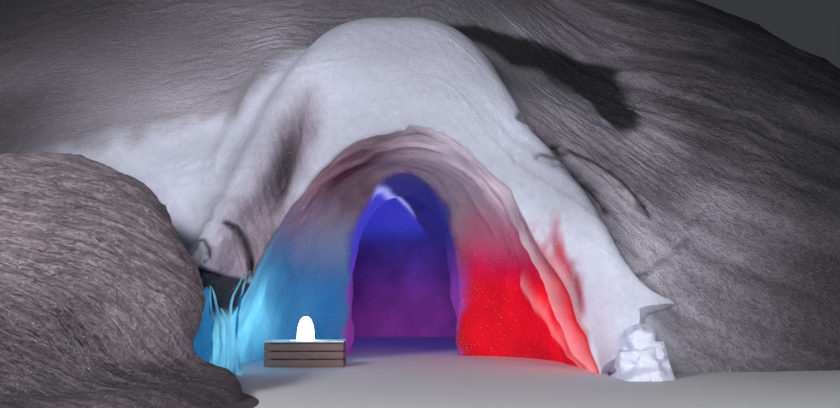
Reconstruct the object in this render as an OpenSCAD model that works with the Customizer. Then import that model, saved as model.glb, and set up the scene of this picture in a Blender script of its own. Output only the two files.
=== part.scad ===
// Snow igloo dug into a wind-packed mound: a vaulted mouth under a rounded
// hood, an open porch, a low round-headed doorway and a domed sleeping room.
// Every piece of snow is a block of one curved grid. The grid has three skins:
// skin 0 is the inside face, skin 1 the back of the hard shell, skin 2 the
// weathered outside. Blocks that meet share the same corner points.

/* [Mound] */
// Length of the mound from side to side
mound_len = 19600; // [15000:100:24000]
// Depth from the front foot to the back foot
mound_depth = 11200; // [10000:100:14000]
// Height of the summit above the ground
mound_top = 6000; // [4800:50:7000]
// How far the summit leans to the left, as a share of the height per metre
mound_lean = 0.018; // [0:0.002:0.03]
// Fullness of the mound's flanks, smaller is fuller
mound_full = 0.7; // [0.5:0.05:1]

/* [Hood] */
// Height of the hood's crest
hood_top = 3740; // [3200:20:4200]
// Half width of the hood's bell shape
hood_half = 1820; // [1500:20:2200]
// Distance of the crest behind the mouth
hood_back = 1000; // [600:20:1400]
// Sideways shift of the crest
hood_shift = -120; // [-300:10:300]
// How softly the hood's left flank runs out into the mound
flank_soft = 1100; // [350:50:1300]
// Depth of the hollow blown out right of the hood
hollow_deep = 1000; // [0:50:1300]

/* [Mouth and porch] */
// Height of the mouth
mouth_top = 2370; // [2000:10:2700]
// Half width of the mouth before it flares at the ground
mouth_half = 1450; // [1150:10:1700]
// Flare of the mouth's feet
mouth_flare = 0.3; // [0:0.02:0.5]
// Half width the porch widens to before it rounds in to the doorway
porch_half = 1620; // [1300:10:1900]
// Length of the porch from the mouth to its back wall
porch_len = 2500; // [1800:50:3200]
// Length over which the porch vault rounds in towards the doorway
vault_round = 1100; // [400:50:1500]

/* [Wind features] */
// How far the fin at the mouth's right side stands out
fin_out = 330; // [150:10:400]
// Length of the horn on the fin
horn_out = 310; // [150:10:400]
// Height of the snow lump at the fin's foot
lump_top = 480; // [250:10:550]
// How far the snow lump reaches out in front of the fin
lump_out = 420; // [300:10:600]
// How far the bulge left of the mouth hangs over
bulge_out = 300; // [150:10:400]
// Height of the curtain of frozen snow left of the mouth
curtain_top = 860; // [600:10:1000]
// Thickness of the curtain
curtain_thick = 60; // [40:5:120]

/* [Doorway] */
// Height of the doorway
door_top = 2180; // [1500:10:2300]
// Half width of the doorway
door_half = 660; // [400:10:900]
// Sideways shift of the doorway
door_shift = -60; // [-200:10:200]
// Thickness of the doorway wall
door_deep = 500; // [300:10:800]
// How much lower the doorway's crown is at its inner end
door_drop = 200; // [0:10:300]

/* [Sleeping room] */
// Radius of the domed room
room_r = 2000; // [1600:20:2400]
// Height of the domed room
room_top = 2450; // [2300:10:2800]
// Thickness of the hard-packed shell
shell = 380; // [250:10:500]

/* [Drift bank] */
// Height of the drift bank left of the mouth
bank_top = 2150; // [1200:50:2400]
// Half length of the drift bank
bank_half = 3750; // [3000:50:4000]
// Half depth of the drift bank
bank_deep = 2500; // [2000:50:2800]

/* [Crate and lamp] */
// Length of the low crate
crate_len = 830; // [500:10:1200]
// Depth of the crate
crate_deep = 340; // [250:10:500]
// Height of the crate
crate_top = 270; // [200:10:400]
// Diameter of the lamp's glowing dome
lamp_d = 190; // [140:5:260]
// Height of the lamp's glowing dome
lamp_h = 250; // [160:5:320]

/* [Hidden] */
nt = 28;
nv = 40;
j_crest = 6;
j_hood = 8;
j_porch = 12;
j_door = 16;
j_bank = 20;
back_y = 7700;
mid_y = 2200;
front_half = mound_depth - (back_y - mid_y);
back_half = back_y - mid_y;
back_x = -900;
mouth_y = -3500;
hood_reach = 3200;
hood_core = 1900;
hood_tail = 750;
hood_fade = 1700;
hood_square = 3.1;
hood_soft = 350;
flank_band = 1300;
hollow_x = 2200;
hollow_y = -900;
hollow_wide = 1100;
hollow_long = 1500;
crest_foot = 2450;
crest_foot_y = 100;
foot_square = 2.4;
door_in = 60;
round_full = 0.85;
room_in = 150;
room_full = 0.6;
shell_hug = 0.95;
bank_x = -5000;
bank_y = -back_y + bank_deep;
bank_shear = 0.55;

function mix(a, b, k) = a + (b - a) * k;
function clamp(a) = min(max(a, 0), 1);
function ease(a) = clamp(a) * clamp(a) * (3 - 2 * clamp(a));
function bow(i) = cos(180 * i / nt);
function rise(i) = sin(180 * i / nt);

// smooth maximum of two heights
function crown(a, b, k) =
    let (h = clamp(0.5 + 0.5 * (a - b) / k))
    b + (a - b) * h + k * h * (1 - h);

// mound height over a plan position
function mound_z(x, y) =
    let (half = y < mid_y ? front_half : back_half)
    let (u = pow(abs(x) / (mound_len / 2), foot_square) + pow((y - mid_y) / half, 2))
    mound_top * pow(max(1 - u, 0), mound_full) * (1 - mound_lean * x / 1000);

// hood height over a plan position
function hood_z(x, y) =
    let (dy = y - (mouth_y + hood_back))
    let (fade = exp(-pow(max(dy, 0) / hood_fade, 2)))
    hood_top * fade * exp(-pow(abs(x - hood_shift) / hood_half, hood_square));

// hollow beside the hood, and the height of all the snow over a plan position
function hollow_z(x, y) =
    hollow_deep * exp(-pow((x - hollow_x) / hollow_wide, 2) - pow((y - hollow_y) / hollow_long, 2));
function snow_z(x, y) =
    crown(hood_z(x, y), mound_z(x, y) - hollow_z(x, y),
        mix(flank_soft, hood_soft, ease(x / flank_band + 1)));

// an arch: half width w, height h, flared feet f, fullness p
function arch(i, x0, y, w, h, f, p) =
    [x0 - w * bow(i) * (1 + f * pow(1 - rise(i), 2)), y, h * pow(rise(i), p)];

// skin 0: porch vault, doorway and domed room
room_start = 40;
function room_turn(j) = mix(room_start, 180, (j - j_door) / (nv - j_door));
function inside(i, j) =
    j <= j_porch ?
        let (k = j / j_porch, u = max(1 - porch_len * (1 - k) / vault_round, 0))
        mix(arch(i, door_shift * k, mouth_y + porch_len * k, mix(mouth_half, porch_half, k),
            mouth_top, mouth_flare * (1 - k), 1 - 0.25 * k),
            arch(i, door_shift, mouth_y + porch_len * k, door_half, door_top, 0.03, 0.6),
            round_full * (1 - sqrt(1 - u * u)))
    : j < j_door ?
        let (k = (j - j_porch - 1) / (j_door - j_porch - 2))
        arch(i, door_shift, mouth_y + porch_len + door_in + door_deep * k, door_half,
            door_top - door_drop * k, 0.03, 0.6)
    :
        let (a = room_turn(j), far = a > 90)
        let (h = far ? room_top * pow(sin(a), room_full) : mix(door_top, room_top, sin(a)))
        arch(i, 0, room_y - room_r * cos(a), room_r * sin(a), h, 0, 0.8);
room_y = mouth_y + porch_len + door_deep + room_r + room_in;

// skin 1: back of the hard shell
function shell_at(i, j) =
    j <= j_porch ?
        let (k = j / j_porch, s = shell * min(j / j_hood, 1))
        arch(i, door_shift * k, mouth_y + porch_len * k, mix(mouth_half, porch_half, k) + s,
            mouth_top + s, mouth_flare * (1 - k), 1 - 0.25 * k)
    : j < j_door ?
        let (k = (j - j_porch) / (j_door - j_porch))
        arch(i, door_shift * (1 - k), mix(mouth_y + porch_len, room_y - room_r * shell_hug, k),
            porch_half + shell, mouth_top + shell, 0, 0.75)
    :
        let (a = room_turn(j), far = a > 90, r = room_r + shell)
        let (crown_h = room_top + shell)
        let (h = far ? crown_h * pow(sin(a), room_full) : mix(mouth_top + shell, crown_h, sin(a)))
        arch(i, 0, room_y - r * cos(a), r * sin(a), h, 0, 0.8);

// skin 2: weathered outside
// plan point of arch step i between crest k and foot o: steps stay close over the hood
function side(i) = i < nt / 2 ? -1 : 1;
function plan(kx, ky, ox, oy, i, spread) =
    let (c = abs(bow(i)), core = side(i) * hood_core)
    [kx * (1 - c) + core * c + (ox - core) * pow(c, spread), mix(ky, oy, c * c)];
crest_y = mouth_y + hood_back;
crest_spread = 4;
function crest_plan(i) =
    plan(hood_shift, crest_y, side(i) * crest_foot, mouth_y + crest_foot_y, i, crest_spread);
function foot_turn(w) = mix(asin(hood_reach / (mound_len / 2)), 180, w);
function foot_x(w, s) = s * mound_len / 2 * sin(foot_turn(w));
function foot_y(w) =
    let (a = foot_turn(w), far = sqrt(max(1 - pow(sin(a), foot_square), 0)))
    a < 90 ? mid_y - front_half * far : mid_y + back_half * far;
function hill_spread(w) = 1 + 4 * pow(max(1 - w / 0.35, 0), 2);
function hill_plan(i, w) =
    plan(mix(hood_shift, back_x, sin(180 * w)) * (1 - w), mix(crest_y + hood_tail, back_y, w),
        foot_x(w, side(i)), foot_y(w), i, hill_spread(w));
function on_ground(i) = i == 0 || i == nt;
function outside(i, j) =
    j <= j_crest ?
        let (a = 90 * j / j_crest, e = inside(i, 0))
        let (q = crest_plan(i), k = 1 - cos(a))
        let (x = mix(e.x, q.x, k), y = mix(e.y, q.y, k))
        [x, y, on_ground(i) ? 0 : mix(e.z, snow_z(x, y), sin(a))]
    : j < j_hood ?
        let (p = (crest_plan(i) + hill_plan(i, 0)) / 2)
        [p.x, p.y, on_ground(i) ? 0 : snow_z(p.x, p.y)]
    :
        let (w = pow((j - j_hood) / (nv - j_hood), 1.4))
        let (p = hill_plan(i, w))
        [p.x, p.y, on_ground(i) || j == nv ? 0 : snow_z(p.x, p.y)];

function skin(k, i, j) = k == 0 ? inside(i, j) : k == 1 ? shell_at(i, j) : outside(i, j);

// two triangles of a quad, left out where corners fall together
function tri(a, b, c) = a == b || b == c || a == c ? [] : [[a, b, c]];
function quad(a, b, c, d) = concat(tri(a, b, c), tri(a, c, d));
function flip(q) = [for (f = q) [f[2], f[1], f[0]]];

// a block of the grid: arch steps i0 to i1, depth steps j0 to j1, skins k0 to k1
module block(i0, i1, j0, j1, k0, k1) {
    ni = i1 - i0 + 1;
    nj = j1 - j0 + 1;
    function at(k, i, j) =
        ((j == 0 ? 0 : k - k0) * ni + (j == nv ? 0 : i - i0)) * nj + j - j0;
    points = [for (k = [k0:k1]) for (i = [i0:i1]) for (j = [j0:j1]) skin(k, i, j)];
    function flat_i(k, i, j) =
        quad(at(k, i, j), at(k, i + 1, j), at(k, i + 1, j + 1), at(k, i, j + 1));
    function face_i(k, i, j) =
        quad(at(k, i, j), at(k, i, j + 1), at(k + 1, i, j + 1), at(k + 1, i, j));
    function face_j(k, i, j) =
        quad(at(k, i, j), at(k + 1, i, j), at(k + 1, i + 1, j), at(k, i + 1, j));
    faces = concat(
        [for (i = [i0:i1 - 1]) for (j = [j0:j1 - 1]) each flip(flat_i(k0, i, j))],
        [for (i = [i0:i1 - 1]) for (j = [j0:j1 - 1]) each flat_i(k1, i, j)],
        [for (k = [k0:k1 - 1]) for (j = [j0:j1 - 1]) each flip(face_i(k, i0, j))],
        [for (k = [k0:k1 - 1]) for (j = [j0:j1 - 1]) each face_i(k, i1, j)],
        [for (k = [k0:k1 - 1]) for (i = [i0:i1 - 1]) each flip(face_j(k, i, j0))],
        [for (k = [k0:k1 - 1]) for (i = [i0:i1 - 1]) each face_j(k, i, j1)]
    );
    polyhedron(points, faces);
}

// a swelling on the snow: a grid of points under and over it, which fall together all
// round the whole swelling's rim; all = [first row, last row, first column, last column]
// of the whole, part = the same for the part of it that is made here
module swelling(all, part, under, over) {
    nc = part[3] - part[2] + 1;
    n = (part[1] - part[0] + 1) * nc;
    rim = function (r, c) r == all[0] || r == all[1] || c == all[2] || c == all[3];
    low = function (r, c) (r - part[0]) * nc + c - part[2];
    high = function (r, c) low(r, c) + (rim(r, c) ? 0 : n);
    rows = [part[0]:part[1] - 1];
    columns = [part[2]:part[3] - 1];
    points = concat(
        [for (r = [part[0]:part[1]]) for (c = [part[2]:part[3]]) under(r, c)],
        [for (r = [part[0]:part[1]]) for (c = [part[2]:part[3]]) over(r, c)]
    );
    cell = function (f, r, c) [f(r, c), f(r + 1, c), f(r + 1, c + 1), f(r, c + 1)];
    wall = function (r, c, u, v) quad(low(r, c), low(u, v), high(u, v), high(r, c));
    faces = concat(
        [for (r = rows) for (c = columns)
            let (q = cell(low, r, c))
            each flip(quad(q[0], q[1], q[2], q[3]))],
        [for (r = rows) for (c = columns)
            let (q = cell(high, r, c))
            let (corner = r == all[0] && c == all[3] - 1 || r == all[1] - 1 && c == all[2])
            each corner ? quad(q[1], q[2], q[3], q[0]) : quad(q[0], q[1], q[2], q[3])],
        [for (r = rows) each wall(r, part[2], r + 1, part[2])],
        [for (r = rows) each flip(wall(r, part[3], r + 1, part[3]))],
        [for (c = columns) each flip(wall(part[0], c, part[0], c + 1))],
        [for (c = columns) each wall(part[1], c, part[1], c + 1)]
    );
    polyhedron(points, faces);
}

// fin: the end of the mouth's right wall, blown out to a crisp edge along column fin_j;
// its rows run down the wall, and the last lies on the ground
fin_i = nt - 7;
fin_j = 4;
fin_all = [fin_i, nt + 1, 0, j_hood];
fin_sole = 30;
fin_toe = 120;
fin_swell = 0.8;
function fin_column(j) = j < fin_j ? pow(sin(90 * j / fin_j), 0.7) : pow((j_hood - j) / fin_j, 3);
function fin_push(i, j) =
    let (k = (i - fin_i) / (nt - fin_i))
    fin_out * fin_column(j) * [fin_swell * sin(180 * pow(k, fin_swell)), -ease(1.3 * k), 0];
function fin_under(i, j) =
    i <= nt ? outside(i, j) : outside(nt, j) + fin_push(nt, j) - [0, fin_sole, 0];
function fin_over(i, j) =
    i == fin_all[0] || i == fin_all[1] || j == 0 || j == j_hood ? fin_under(i, j)
    : outside(i, j) + fin_push(i, j) + [0, 0, i == nt ? fin_toe : 0];

// horn: one point of the fin's edge drawn out sideways
horn_all = [nt - 3, nt - 1, fin_j - 1, fin_j + 1];
function horn_over(i, j) =
    fin_over(i, j) + (i == nt - 2 && j == fin_j ? [horn_out, 0, 0] : [0, 0, 0]);

// lump: lies against the fin's foot and runs out over the ground
lump_all = [nt - 1, nt + 5, 2, 6];
lump_rows = lump_all[1] - fin_all[1];
lump_lean = lump_out / 4;
lump_rough = 0.12;
function lump_under(i, j) =
    i <= fin_all[1] ? fin_over(i, j)
    : fin_over(fin_all[1], j) - [0, lump_out * (i - fin_all[1]) / lump_rows, 0];
function lump_over(i, j) =
    let (p = lump_under(i, j), r = (i - lump_all[0]) / (lump_all[1] - lump_all[0]))
    let (c = (j - lump_all[2]) / (lump_all[3] - lump_all[2]))
    i == lump_all[0] || i == lump_all[1] || j == lump_all[2] || j == lump_all[3] ? p
    : [p.x, p.y - lump_lean * (1 - r),
        lump_top * pow(sin(180 * c), 0.4) * sqrt(1 - r * r) * (1 + lump_rough * sin(400 * r + 300 * c))];

// bulge left of the mouth: it hangs over the hollow at the foot
bulge_all = [0, 7, 0, j_hood];
bulge_foot = 950;
bulge_rise = 400;
bulge_fall = 650;
bulge_least = 0.08;
function bulge_push(z, j) =
    bulge_out * max(ease((j - 0.9) / 1.4), bulge_least) * ease((j_hood - j) / 4)
        * max(ease((z - bulge_foot) / bulge_rise + 1) * exp(-pow(max(z - bulge_foot, 0) / bulge_fall, 2)),
            bulge_least);
function bulge_over(i, j) =
    let (p = outside(i, j))
    i == 0 || i == bulge_all[1] || j == 0 || j == j_hood ? p : p - [0, bulge_push(p.z, j), 0];

// curtain: a thin upright sheet from the mouth's left edge out to the drift bank,
// sagging between its two tops, with slits between its strands
curtain_x = -1490;
curtain_turn = 38;
curtain_len = 900;
curtain_gap = 3;
// outline and slits as shares of its length and height
curtain_edge = [[0.13, 0], [0.17, 0.49], [0.11, 0.93], [0, 1.16], [0.05, 1.15], [0.12, 1.08],
    [0.18, 0.92], [0.25, 0.78], [0.33, 0.72], [0.4, 0.8], [0.45, 0.93], [0.49, 1], [0.58, 0.93],
    [0.8, 0.66], [1, 0.38], [1, 0]];
curtain_slits = [[0.44, 0.8, 0.05, 0.22], [0.4, 0.38, 0.07, 0.34], [0.32, 0.49, 0.05, 0.27],
    [0.21, 0.65, 0.03, 0.3]];
module curtain() {
    at = function (p) [p.x * curtain_len, p.y * curtain_top];
    lens = function (q) [for (a = [0:20:340])
        at([q[0] + q[2] / 2 * sin(a) * abs(sin(a)), q[1] + q[3] / 2 * cos(a)])];
    translate([curtain_x, mouth_y - curtain_gap, 0])
        rotate([90, 0, 180 + curtain_turn])
            linear_extrude(curtain_thick)
                difference() {
                    polygon([for (p = curtain_edge) at(p)]);
                    for (q = curtain_slits) polygon(lens(q));
                }
}

// drift bank: rows run in over the ground from its foot, then up the mound's own foot
n_seat = 3;
n_row = 12;
bank_all = [0, n_row, j_hood, j_bank];
bank_turn = [20, -200];
bank_lip = 150;
function bank_end(j) = (j - j_hood) / (j_bank - j_hood);
function bank_foot(j) =
    let (a = mix(bank_turn[0], bank_turn[1], bank_end(j)))
    [bank_x + bank_half * cos(a) - bank_shear * bank_deep * sin(a), bank_y + bank_deep * sin(a)];
bank_toe = 0.93;
function bank_z(k, j) =
    bank_top * pow(max(1 - pow(k / bank_toe, 2.2), 0), 0.9)
        * max(1 - pow(2 * bank_end(j) - 1, 4), 0) + bank_lip * (1 - k);
function bank_under(r, j) =
    let (i = r - (n_row - n_seat))
    i >= 0 ? outside(i, j)
    :
        let (p = outside(0, j), f = bank_foot(j), k = -i / (n_row - n_seat))
        [mix(p.x, f.x, k), mix(p.y, f.y, k), 0];
function bank_over(r, j) =
    r == 0 || r == n_row || j == j_hood || j == j_bank ? bank_under(r, j)
    :
        let (p = outside(n_seat, j), f = bank_foot(j), k = 1 - r / n_row)
        [mix(p.x, f.x, k), mix(p.y, f.y, k), mix(p.z, bank_z(k, j), ease(k * 2.5))];
module bank(j0, j1) {
    swelling(bank_all, [0, n_row, j0, j1], function (r, j) bank_under(r, j), function (r, j) bank_over(r, j));
}

i_wall = 6;
i_haunch = 11;
white = [0.86, 0.88, 0.95];
dense = [0.72, 0.78, 0.9];
drift = [0.8, 0.8, 0.84];
timber = [0.45, 0.36, 0.28];
glow = [0.9, 0.97, 1];

module hood_left_cheek() { color(white) block(0, i_wall, 0, j_hood, 0, 2); }
module hood_left_shoulder() { color(white) block(i_wall, i_haunch, 0, j_hood, 0, 2); }
module hood_crown() { color(white) block(i_haunch, nt - i_haunch, 0, j_hood, 0, 2); }
module hood_right_shoulder() { color(white) block(nt - i_haunch, nt - i_wall, 0, j_hood, 0, 2); }
module hood_right_cheek() { color(white) block(nt - i_wall, nt, 0, j_hood, 0, 2); }

module porch_left_wall() { color(dense) block(0, i_wall, j_hood, j_porch, 0, 1); }
module porch_left_haunch() { color(dense) block(i_wall, i_haunch, j_hood, j_porch, 0, 1); }
module porch_crown() { color(dense) block(i_haunch, nt - i_haunch, j_hood, j_porch, 0, 1); }
module porch_right_haunch() { color(dense) block(nt - i_haunch, nt - i_wall, j_hood, j_porch, 0, 1); }
module porch_right_wall() { color(dense) block(nt - i_wall, nt, j_hood, j_porch, 0, 1); }

module door_left_jamb() { color(dense) block(0, 7, j_porch, j_door, 0, 1); }
module door_head() { color(dense) block(7, nt - 7, j_porch, j_door, 0, 1); }
module door_right_jamb() { color(dense) block(nt - 7, nt, j_porch, j_door, 0, 1); }

j_room = 32;
module room_left_wall() { color(dense) block(0, i_wall, j_door, j_room, 0, 1); }
module room_left_haunch() { color(dense) block(i_wall, i_haunch, j_door, j_room, 0, 1); }
module room_crown() { color(dense) block(i_haunch, nt - i_haunch, j_door, j_room, 0, 1); }
module room_right_haunch() { color(dense) block(nt - i_haunch, nt - i_wall, j_door, j_room, 0, 1); }
module room_right_wall() { color(dense) block(nt - i_wall, nt, j_door, j_room, 0, 1); }
module room_back() { color(dense) block(0, nt, j_room, nv, 0, 1); }

j_near = 16;
j_far = 26;
module mound_front_left_foot() { color(drift) block(0, i_wall, j_hood, j_near, 1, 2); }
module mound_front_left_slope() { color(drift) block(i_wall, i_haunch, j_hood, j_near, 1, 2); }
module mound_front_ridge() { color(drift) block(i_haunch, nt - i_haunch, j_hood, j_near, 1, 2); }
module mound_front_right_slope() { color(drift) block(nt - i_haunch, nt - i_wall, j_hood, j_near, 1, 2); }
module mound_front_right_foot() { color(drift) block(nt - i_wall, nt, j_hood, j_near, 1, 2); }
module mound_left_flank() { color(drift) block(0, i_wall, j_near, j_far, 1, 2); }
module mound_left_shoulder() { color(drift) block(i_wall, i_haunch, j_near, j_far, 1, 2); }
module mound_summit() { color(drift) block(i_haunch, nt - i_haunch, j_near, j_far, 1, 2); }
module mound_right_shoulder() { color(drift) block(nt - i_haunch, nt - i_wall, j_near, j_far, 1, 2); }
module mound_right_flank() { color(drift) block(nt - i_wall, nt, j_near, j_far, 1, 2); }
module mound_back_left() { color(drift) block(0, i_haunch, j_far, nv, 1, 2); }
module mound_back_middle() { color(drift) block(i_haunch, nt - i_haunch, j_far, nv, 1, 2); }
module mound_back_right() { color(drift) block(nt - i_haunch, nt, j_far, nv, 1, 2); }

module bank_nose() { color(drift) bank(j_hood, 12); }
module bank_crest() { color(drift) bank(12, 16); }
module bank_tail() { color(drift) bank(16, j_bank); }

module right_fin() {
    color(white)
        swelling(fin_all, fin_all, function (i, j) fin_under(i, j), function (i, j) fin_over(i, j));
}
module snow_lump() {
    color(white)
        swelling(lump_all, lump_all, function (i, j) lump_under(i, j), function (i, j) lump_over(i, j));
}
module right_horn() {
    color(white)
        swelling(horn_all, horn_all, function (i, j) fin_over(i, j), function (i, j) horn_over(i, j));
}
module left_bulge() {
    color(white)
        swelling(bulge_all, bulge_all, function (i, j) outside(i, j), function (i, j) bulge_over(i, j));
}
module left_curtain() { color(dense) curtain(); }

crate_x = -1060;
crate_y = -2530;
crate_board = 22;
crate_slats = 3;
crate_gap = 8;
module crate() {
    step = (crate_top - crate_board) / crate_slats;
    color(timber) translate([crate_x, crate_y, 0]) {
        translate([-crate_len / 2 + crate_board, -crate_deep / 2 + crate_board, 0])
            cube([crate_len - 2 * crate_board, crate_deep - 2 * crate_board, crate_top - crate_board]);
        for (n = [0:crate_slats - 1]) translate([-crate_len / 2, -crate_deep / 2, n * step])
            cube([crate_len, crate_deep, step - crate_gap]);
        translate([-crate_len / 2, -crate_deep / 2, crate_top - crate_board])
            cube([crate_len, crate_deep, crate_board]);
    }
}
lamp_foot = 20;
lamp_rim = 8;
module lamp() {
    r = lamp_d / 2;
    color(glow) translate([crate_x, crate_y, crate_top])
        rotate_extrude($fn = 48)
            polygon([[0, 0], [r, 0], [r, lamp_foot], [r - lamp_rim, lamp_foot],
                for (a = [0:10:90]) [(r - lamp_rim / 2) * cos(a), lamp_h - r + r * sin(a)]]);
}

hood_left_cheek();
hood_left_shoulder();
hood_crown();
hood_right_shoulder();
hood_right_cheek();
porch_left_wall();
porch_left_haunch();
porch_crown();
porch_right_haunch();
porch_right_wall();
door_left_jamb();
door_head();
door_right_jamb();
room_left_wall();
room_left_haunch();
room_crown();
room_right_haunch();
room_right_wall();
room_back();
mound_front_left_foot();
mound_front_left_slope();
mound_front_ridge();
mound_front_right_slope();
mound_front_right_foot();
mound_left_flank();
mound_left_shoulder();
mound_summit();
mound_right_shoulder();
mound_right_flank();
mound_back_left();
mound_back_middle();
mound_back_right();
bank_nose();
bank_crest();
bank_tail();
right_fin();
right_horn();
snow_lump();
left_bulge();
left_curtain();
crate();
lamp();
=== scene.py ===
import math
from types import SimpleNamespace
import bpy
import numpy as np
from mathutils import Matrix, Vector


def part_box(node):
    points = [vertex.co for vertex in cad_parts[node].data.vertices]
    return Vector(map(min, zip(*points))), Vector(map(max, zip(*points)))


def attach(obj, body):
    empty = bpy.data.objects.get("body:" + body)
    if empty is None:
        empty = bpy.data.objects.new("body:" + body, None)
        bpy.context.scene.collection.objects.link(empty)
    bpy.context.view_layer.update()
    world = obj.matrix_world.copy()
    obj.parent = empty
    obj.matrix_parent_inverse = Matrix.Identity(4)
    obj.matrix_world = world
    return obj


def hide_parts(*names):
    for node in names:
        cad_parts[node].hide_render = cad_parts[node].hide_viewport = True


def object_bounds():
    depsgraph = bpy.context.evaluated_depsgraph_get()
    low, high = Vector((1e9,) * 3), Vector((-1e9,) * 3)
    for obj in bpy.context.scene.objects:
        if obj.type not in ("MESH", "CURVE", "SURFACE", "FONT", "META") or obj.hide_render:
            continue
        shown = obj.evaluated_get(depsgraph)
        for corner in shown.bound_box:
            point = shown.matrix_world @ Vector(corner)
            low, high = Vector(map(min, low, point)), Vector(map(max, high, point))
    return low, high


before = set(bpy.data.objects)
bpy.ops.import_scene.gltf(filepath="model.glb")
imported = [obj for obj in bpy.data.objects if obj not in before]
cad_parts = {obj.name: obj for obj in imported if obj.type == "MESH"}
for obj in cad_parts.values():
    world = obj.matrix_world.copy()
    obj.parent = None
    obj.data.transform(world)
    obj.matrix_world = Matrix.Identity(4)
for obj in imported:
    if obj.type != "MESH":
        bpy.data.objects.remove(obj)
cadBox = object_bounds()
print("igloo: frame loaded,", len(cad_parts), "solids")

snowForm = {  # the skins that the snow is built on: metres and grid steps, as in the part's own source
    "archSteps": 28, "depthSteps": 40, "crestStep": 6, "hoodStep": 8, "porchStep": 12, "doorStep": 16,
    "moundLen": 19.6, "moundTop": 6.0, "moundLean": 0.018, "moundFull": 0.7, "footSquare": 2.4,
    "frontHalf": 5.7, "backHalf": 5.5, "midY": 2.2, "backY": 7.7, "backX": -0.9, "mouthY": -3.5,
    "hoodTop": 3.74, "hoodHalf": 1.82, "hoodBack": 1.0, "hoodShift": -0.12, "hoodTail": 0.75,
    "hoodFade": 1.7, "hoodSquare": 3.1, "hoodSoft": 0.35, "hoodReach": 3.2, "hoodCore": 1.9,
    "crestFoot": 2.45, "crestFootY": 0.1, "spread": 4, "spreadLen": 0.35, "depthBend": 1.4,
    "mouthTop": 2.37, "mouthHalf": 1.45, "mouthFlare": 0.3, "porchHalf": 1.62, "porchLen": 2.5,
    "porchBend": 0.25, "vaultRound": 1.1, "roundFull": 0.85, "doorTop": 2.18, "doorHalf": 0.66,
    "doorShift": -0.06, "doorDeep": 0.5, "doorIn": 0.06, "doorDrop": 0.2, "doorSpan": 2,
    "doorFlare": 0.03, "doorBend": 0.6, "roomR": 2.0, "roomTop": 2.45, "roomStart": 40, "roomFull": 0.6,
    "roomBend": 0.8, "roomY": 1.65, "shell": 0.38, "shellHug": 0.95, "leftSoft": 1.1, "flankBand": 1.3,
    "hollowDeep": 1.0, "hollowX": 2.2, "hollowY": -0.9, "hollowWide": 1.1, "hollowLong": 1.5,
}
f = SimpleNamespace(**snowForm)


def xyz(p):
    return p[..., 0], p[..., 1], p[..., 2]


def vec(*parts):  # the parts side by side along a new last axis
    return np.stack(np.broadcast_arrays(*parts), -1)


def mix(a, b, k):
    return a + (b - a) * k


def blend(a, b, k):  # mix of colours or points by one value for each point
    return mix(a, b, k[..., None])


def ease(a):
    a = np.clip(a, 0, 1)
    return a * a * (3 - 2 * a)


def ramp(v, start, full):  # 0 at start, 1 at full, eased between
    return ease((v - start) / (full - start))


def bump(a, width):  # 1 at 0, falls to 0 smoothly: exp(-(a/width)^2)
    return np.exp(-(a / width) ** 2)


def crown(a, b, k):  # smooth maximum: b + (a-b)h + k h(1-h), h = clamp(1/2 + (a-b)/2k)
    h = np.clip(0.5 + 0.5 * (a - b) / k, 0, 1)
    return b + (a - b) * h + k * h * (1 - h)


def moundZ(x, y):  # top * (1 - |x/a|^2.4 - ((y-m)/b)^2)^0.7, leaning a little
    half = np.where(y < f.midY, f.frontHalf, f.backHalf)
    u = np.abs(x * 2 / f.moundLen) ** f.footSquare + ((y - f.midY) / half) ** 2
    return f.moundTop * np.maximum(1 - u, 0) ** f.moundFull * (1 - f.moundLean * x)


def hoodZ(x, y):  # bell: top * exp(-(dy/fade)^2) * exp(-|dx/half|^3.1)
    dy = np.maximum(y - f.mouthY - f.hoodBack, 0)
    return f.hoodTop * bump(dy, f.hoodFade) * np.exp(-np.abs((x - f.hoodShift) / f.hoodHalf) ** f.hoodSquare)


def snowZ(x, y):
    # smooth maximum of hood and mound, softer on the left, with a hollow blown out right of the hood
    hollow = f.hollowDeep * bump(x - f.hollowX, f.hollowWide) * bump(y - f.hollowY, f.hollowLong)
    k = mix(f.leftSoft, f.hoodSoft, ease(x / f.flankBand + 1))
    return crown(hoodZ(x, y), moundZ(x, y) - hollow, k)


def arch(i, x0, y, w, h, flare, p):  # [x0 - w cos(a)(1 + flare(1 - sin a)^2), y, h sin(a)^p], a = pi i/28
    a = np.pi * i / f.archSteps
    s = np.maximum(np.sin(a), 0)
    return vec(x0 - w * np.cos(a) * (1 + flare * (1 - s) ** 2), y, h * s ** p)


def sideOf(i):
    return np.where(i < f.archSteps / 2, -1.0, 1.0)


def planPoint(kx, ky, ox, oy, i, spread):  # steps stay close over the hood and widen to the foot
    c, core = np.abs(np.cos(np.pi * i / f.archSteps)), sideOf(i) * f.hoodCore
    return kx * (1 - c) + core * c + (ox - core) * c ** spread, mix(ky, oy, c * c)


def hillPlan(i, w):  # from the line behind the hood (w 0) to the back point of the mound's foot (w 1)
    a = mix(math.asin(2 * f.hoodReach / f.moundLen), np.pi, w)
    far = np.sqrt(np.maximum(1 - np.abs(np.sin(a)) ** f.footSquare, 0))
    footY = np.where(a < np.pi / 2, f.midY - f.frontHalf * far, f.midY + f.backHalf * far)
    return planPoint(mix(f.hoodShift, f.backX, np.sin(np.pi * w)) * (1 - w),
                     mix(f.mouthY + f.hoodBack + f.hoodTail, f.backY, w),
                     sideOf(i) * f.moundLen / 2 * np.sin(a), footY, i,
                     1 + f.spread * np.maximum(1 - w / f.spreadLen, 0) ** 2)


def steps(i, j):
    return np.broadcast_arrays(np.asarray(i, float), np.asarray(j, float))


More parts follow.
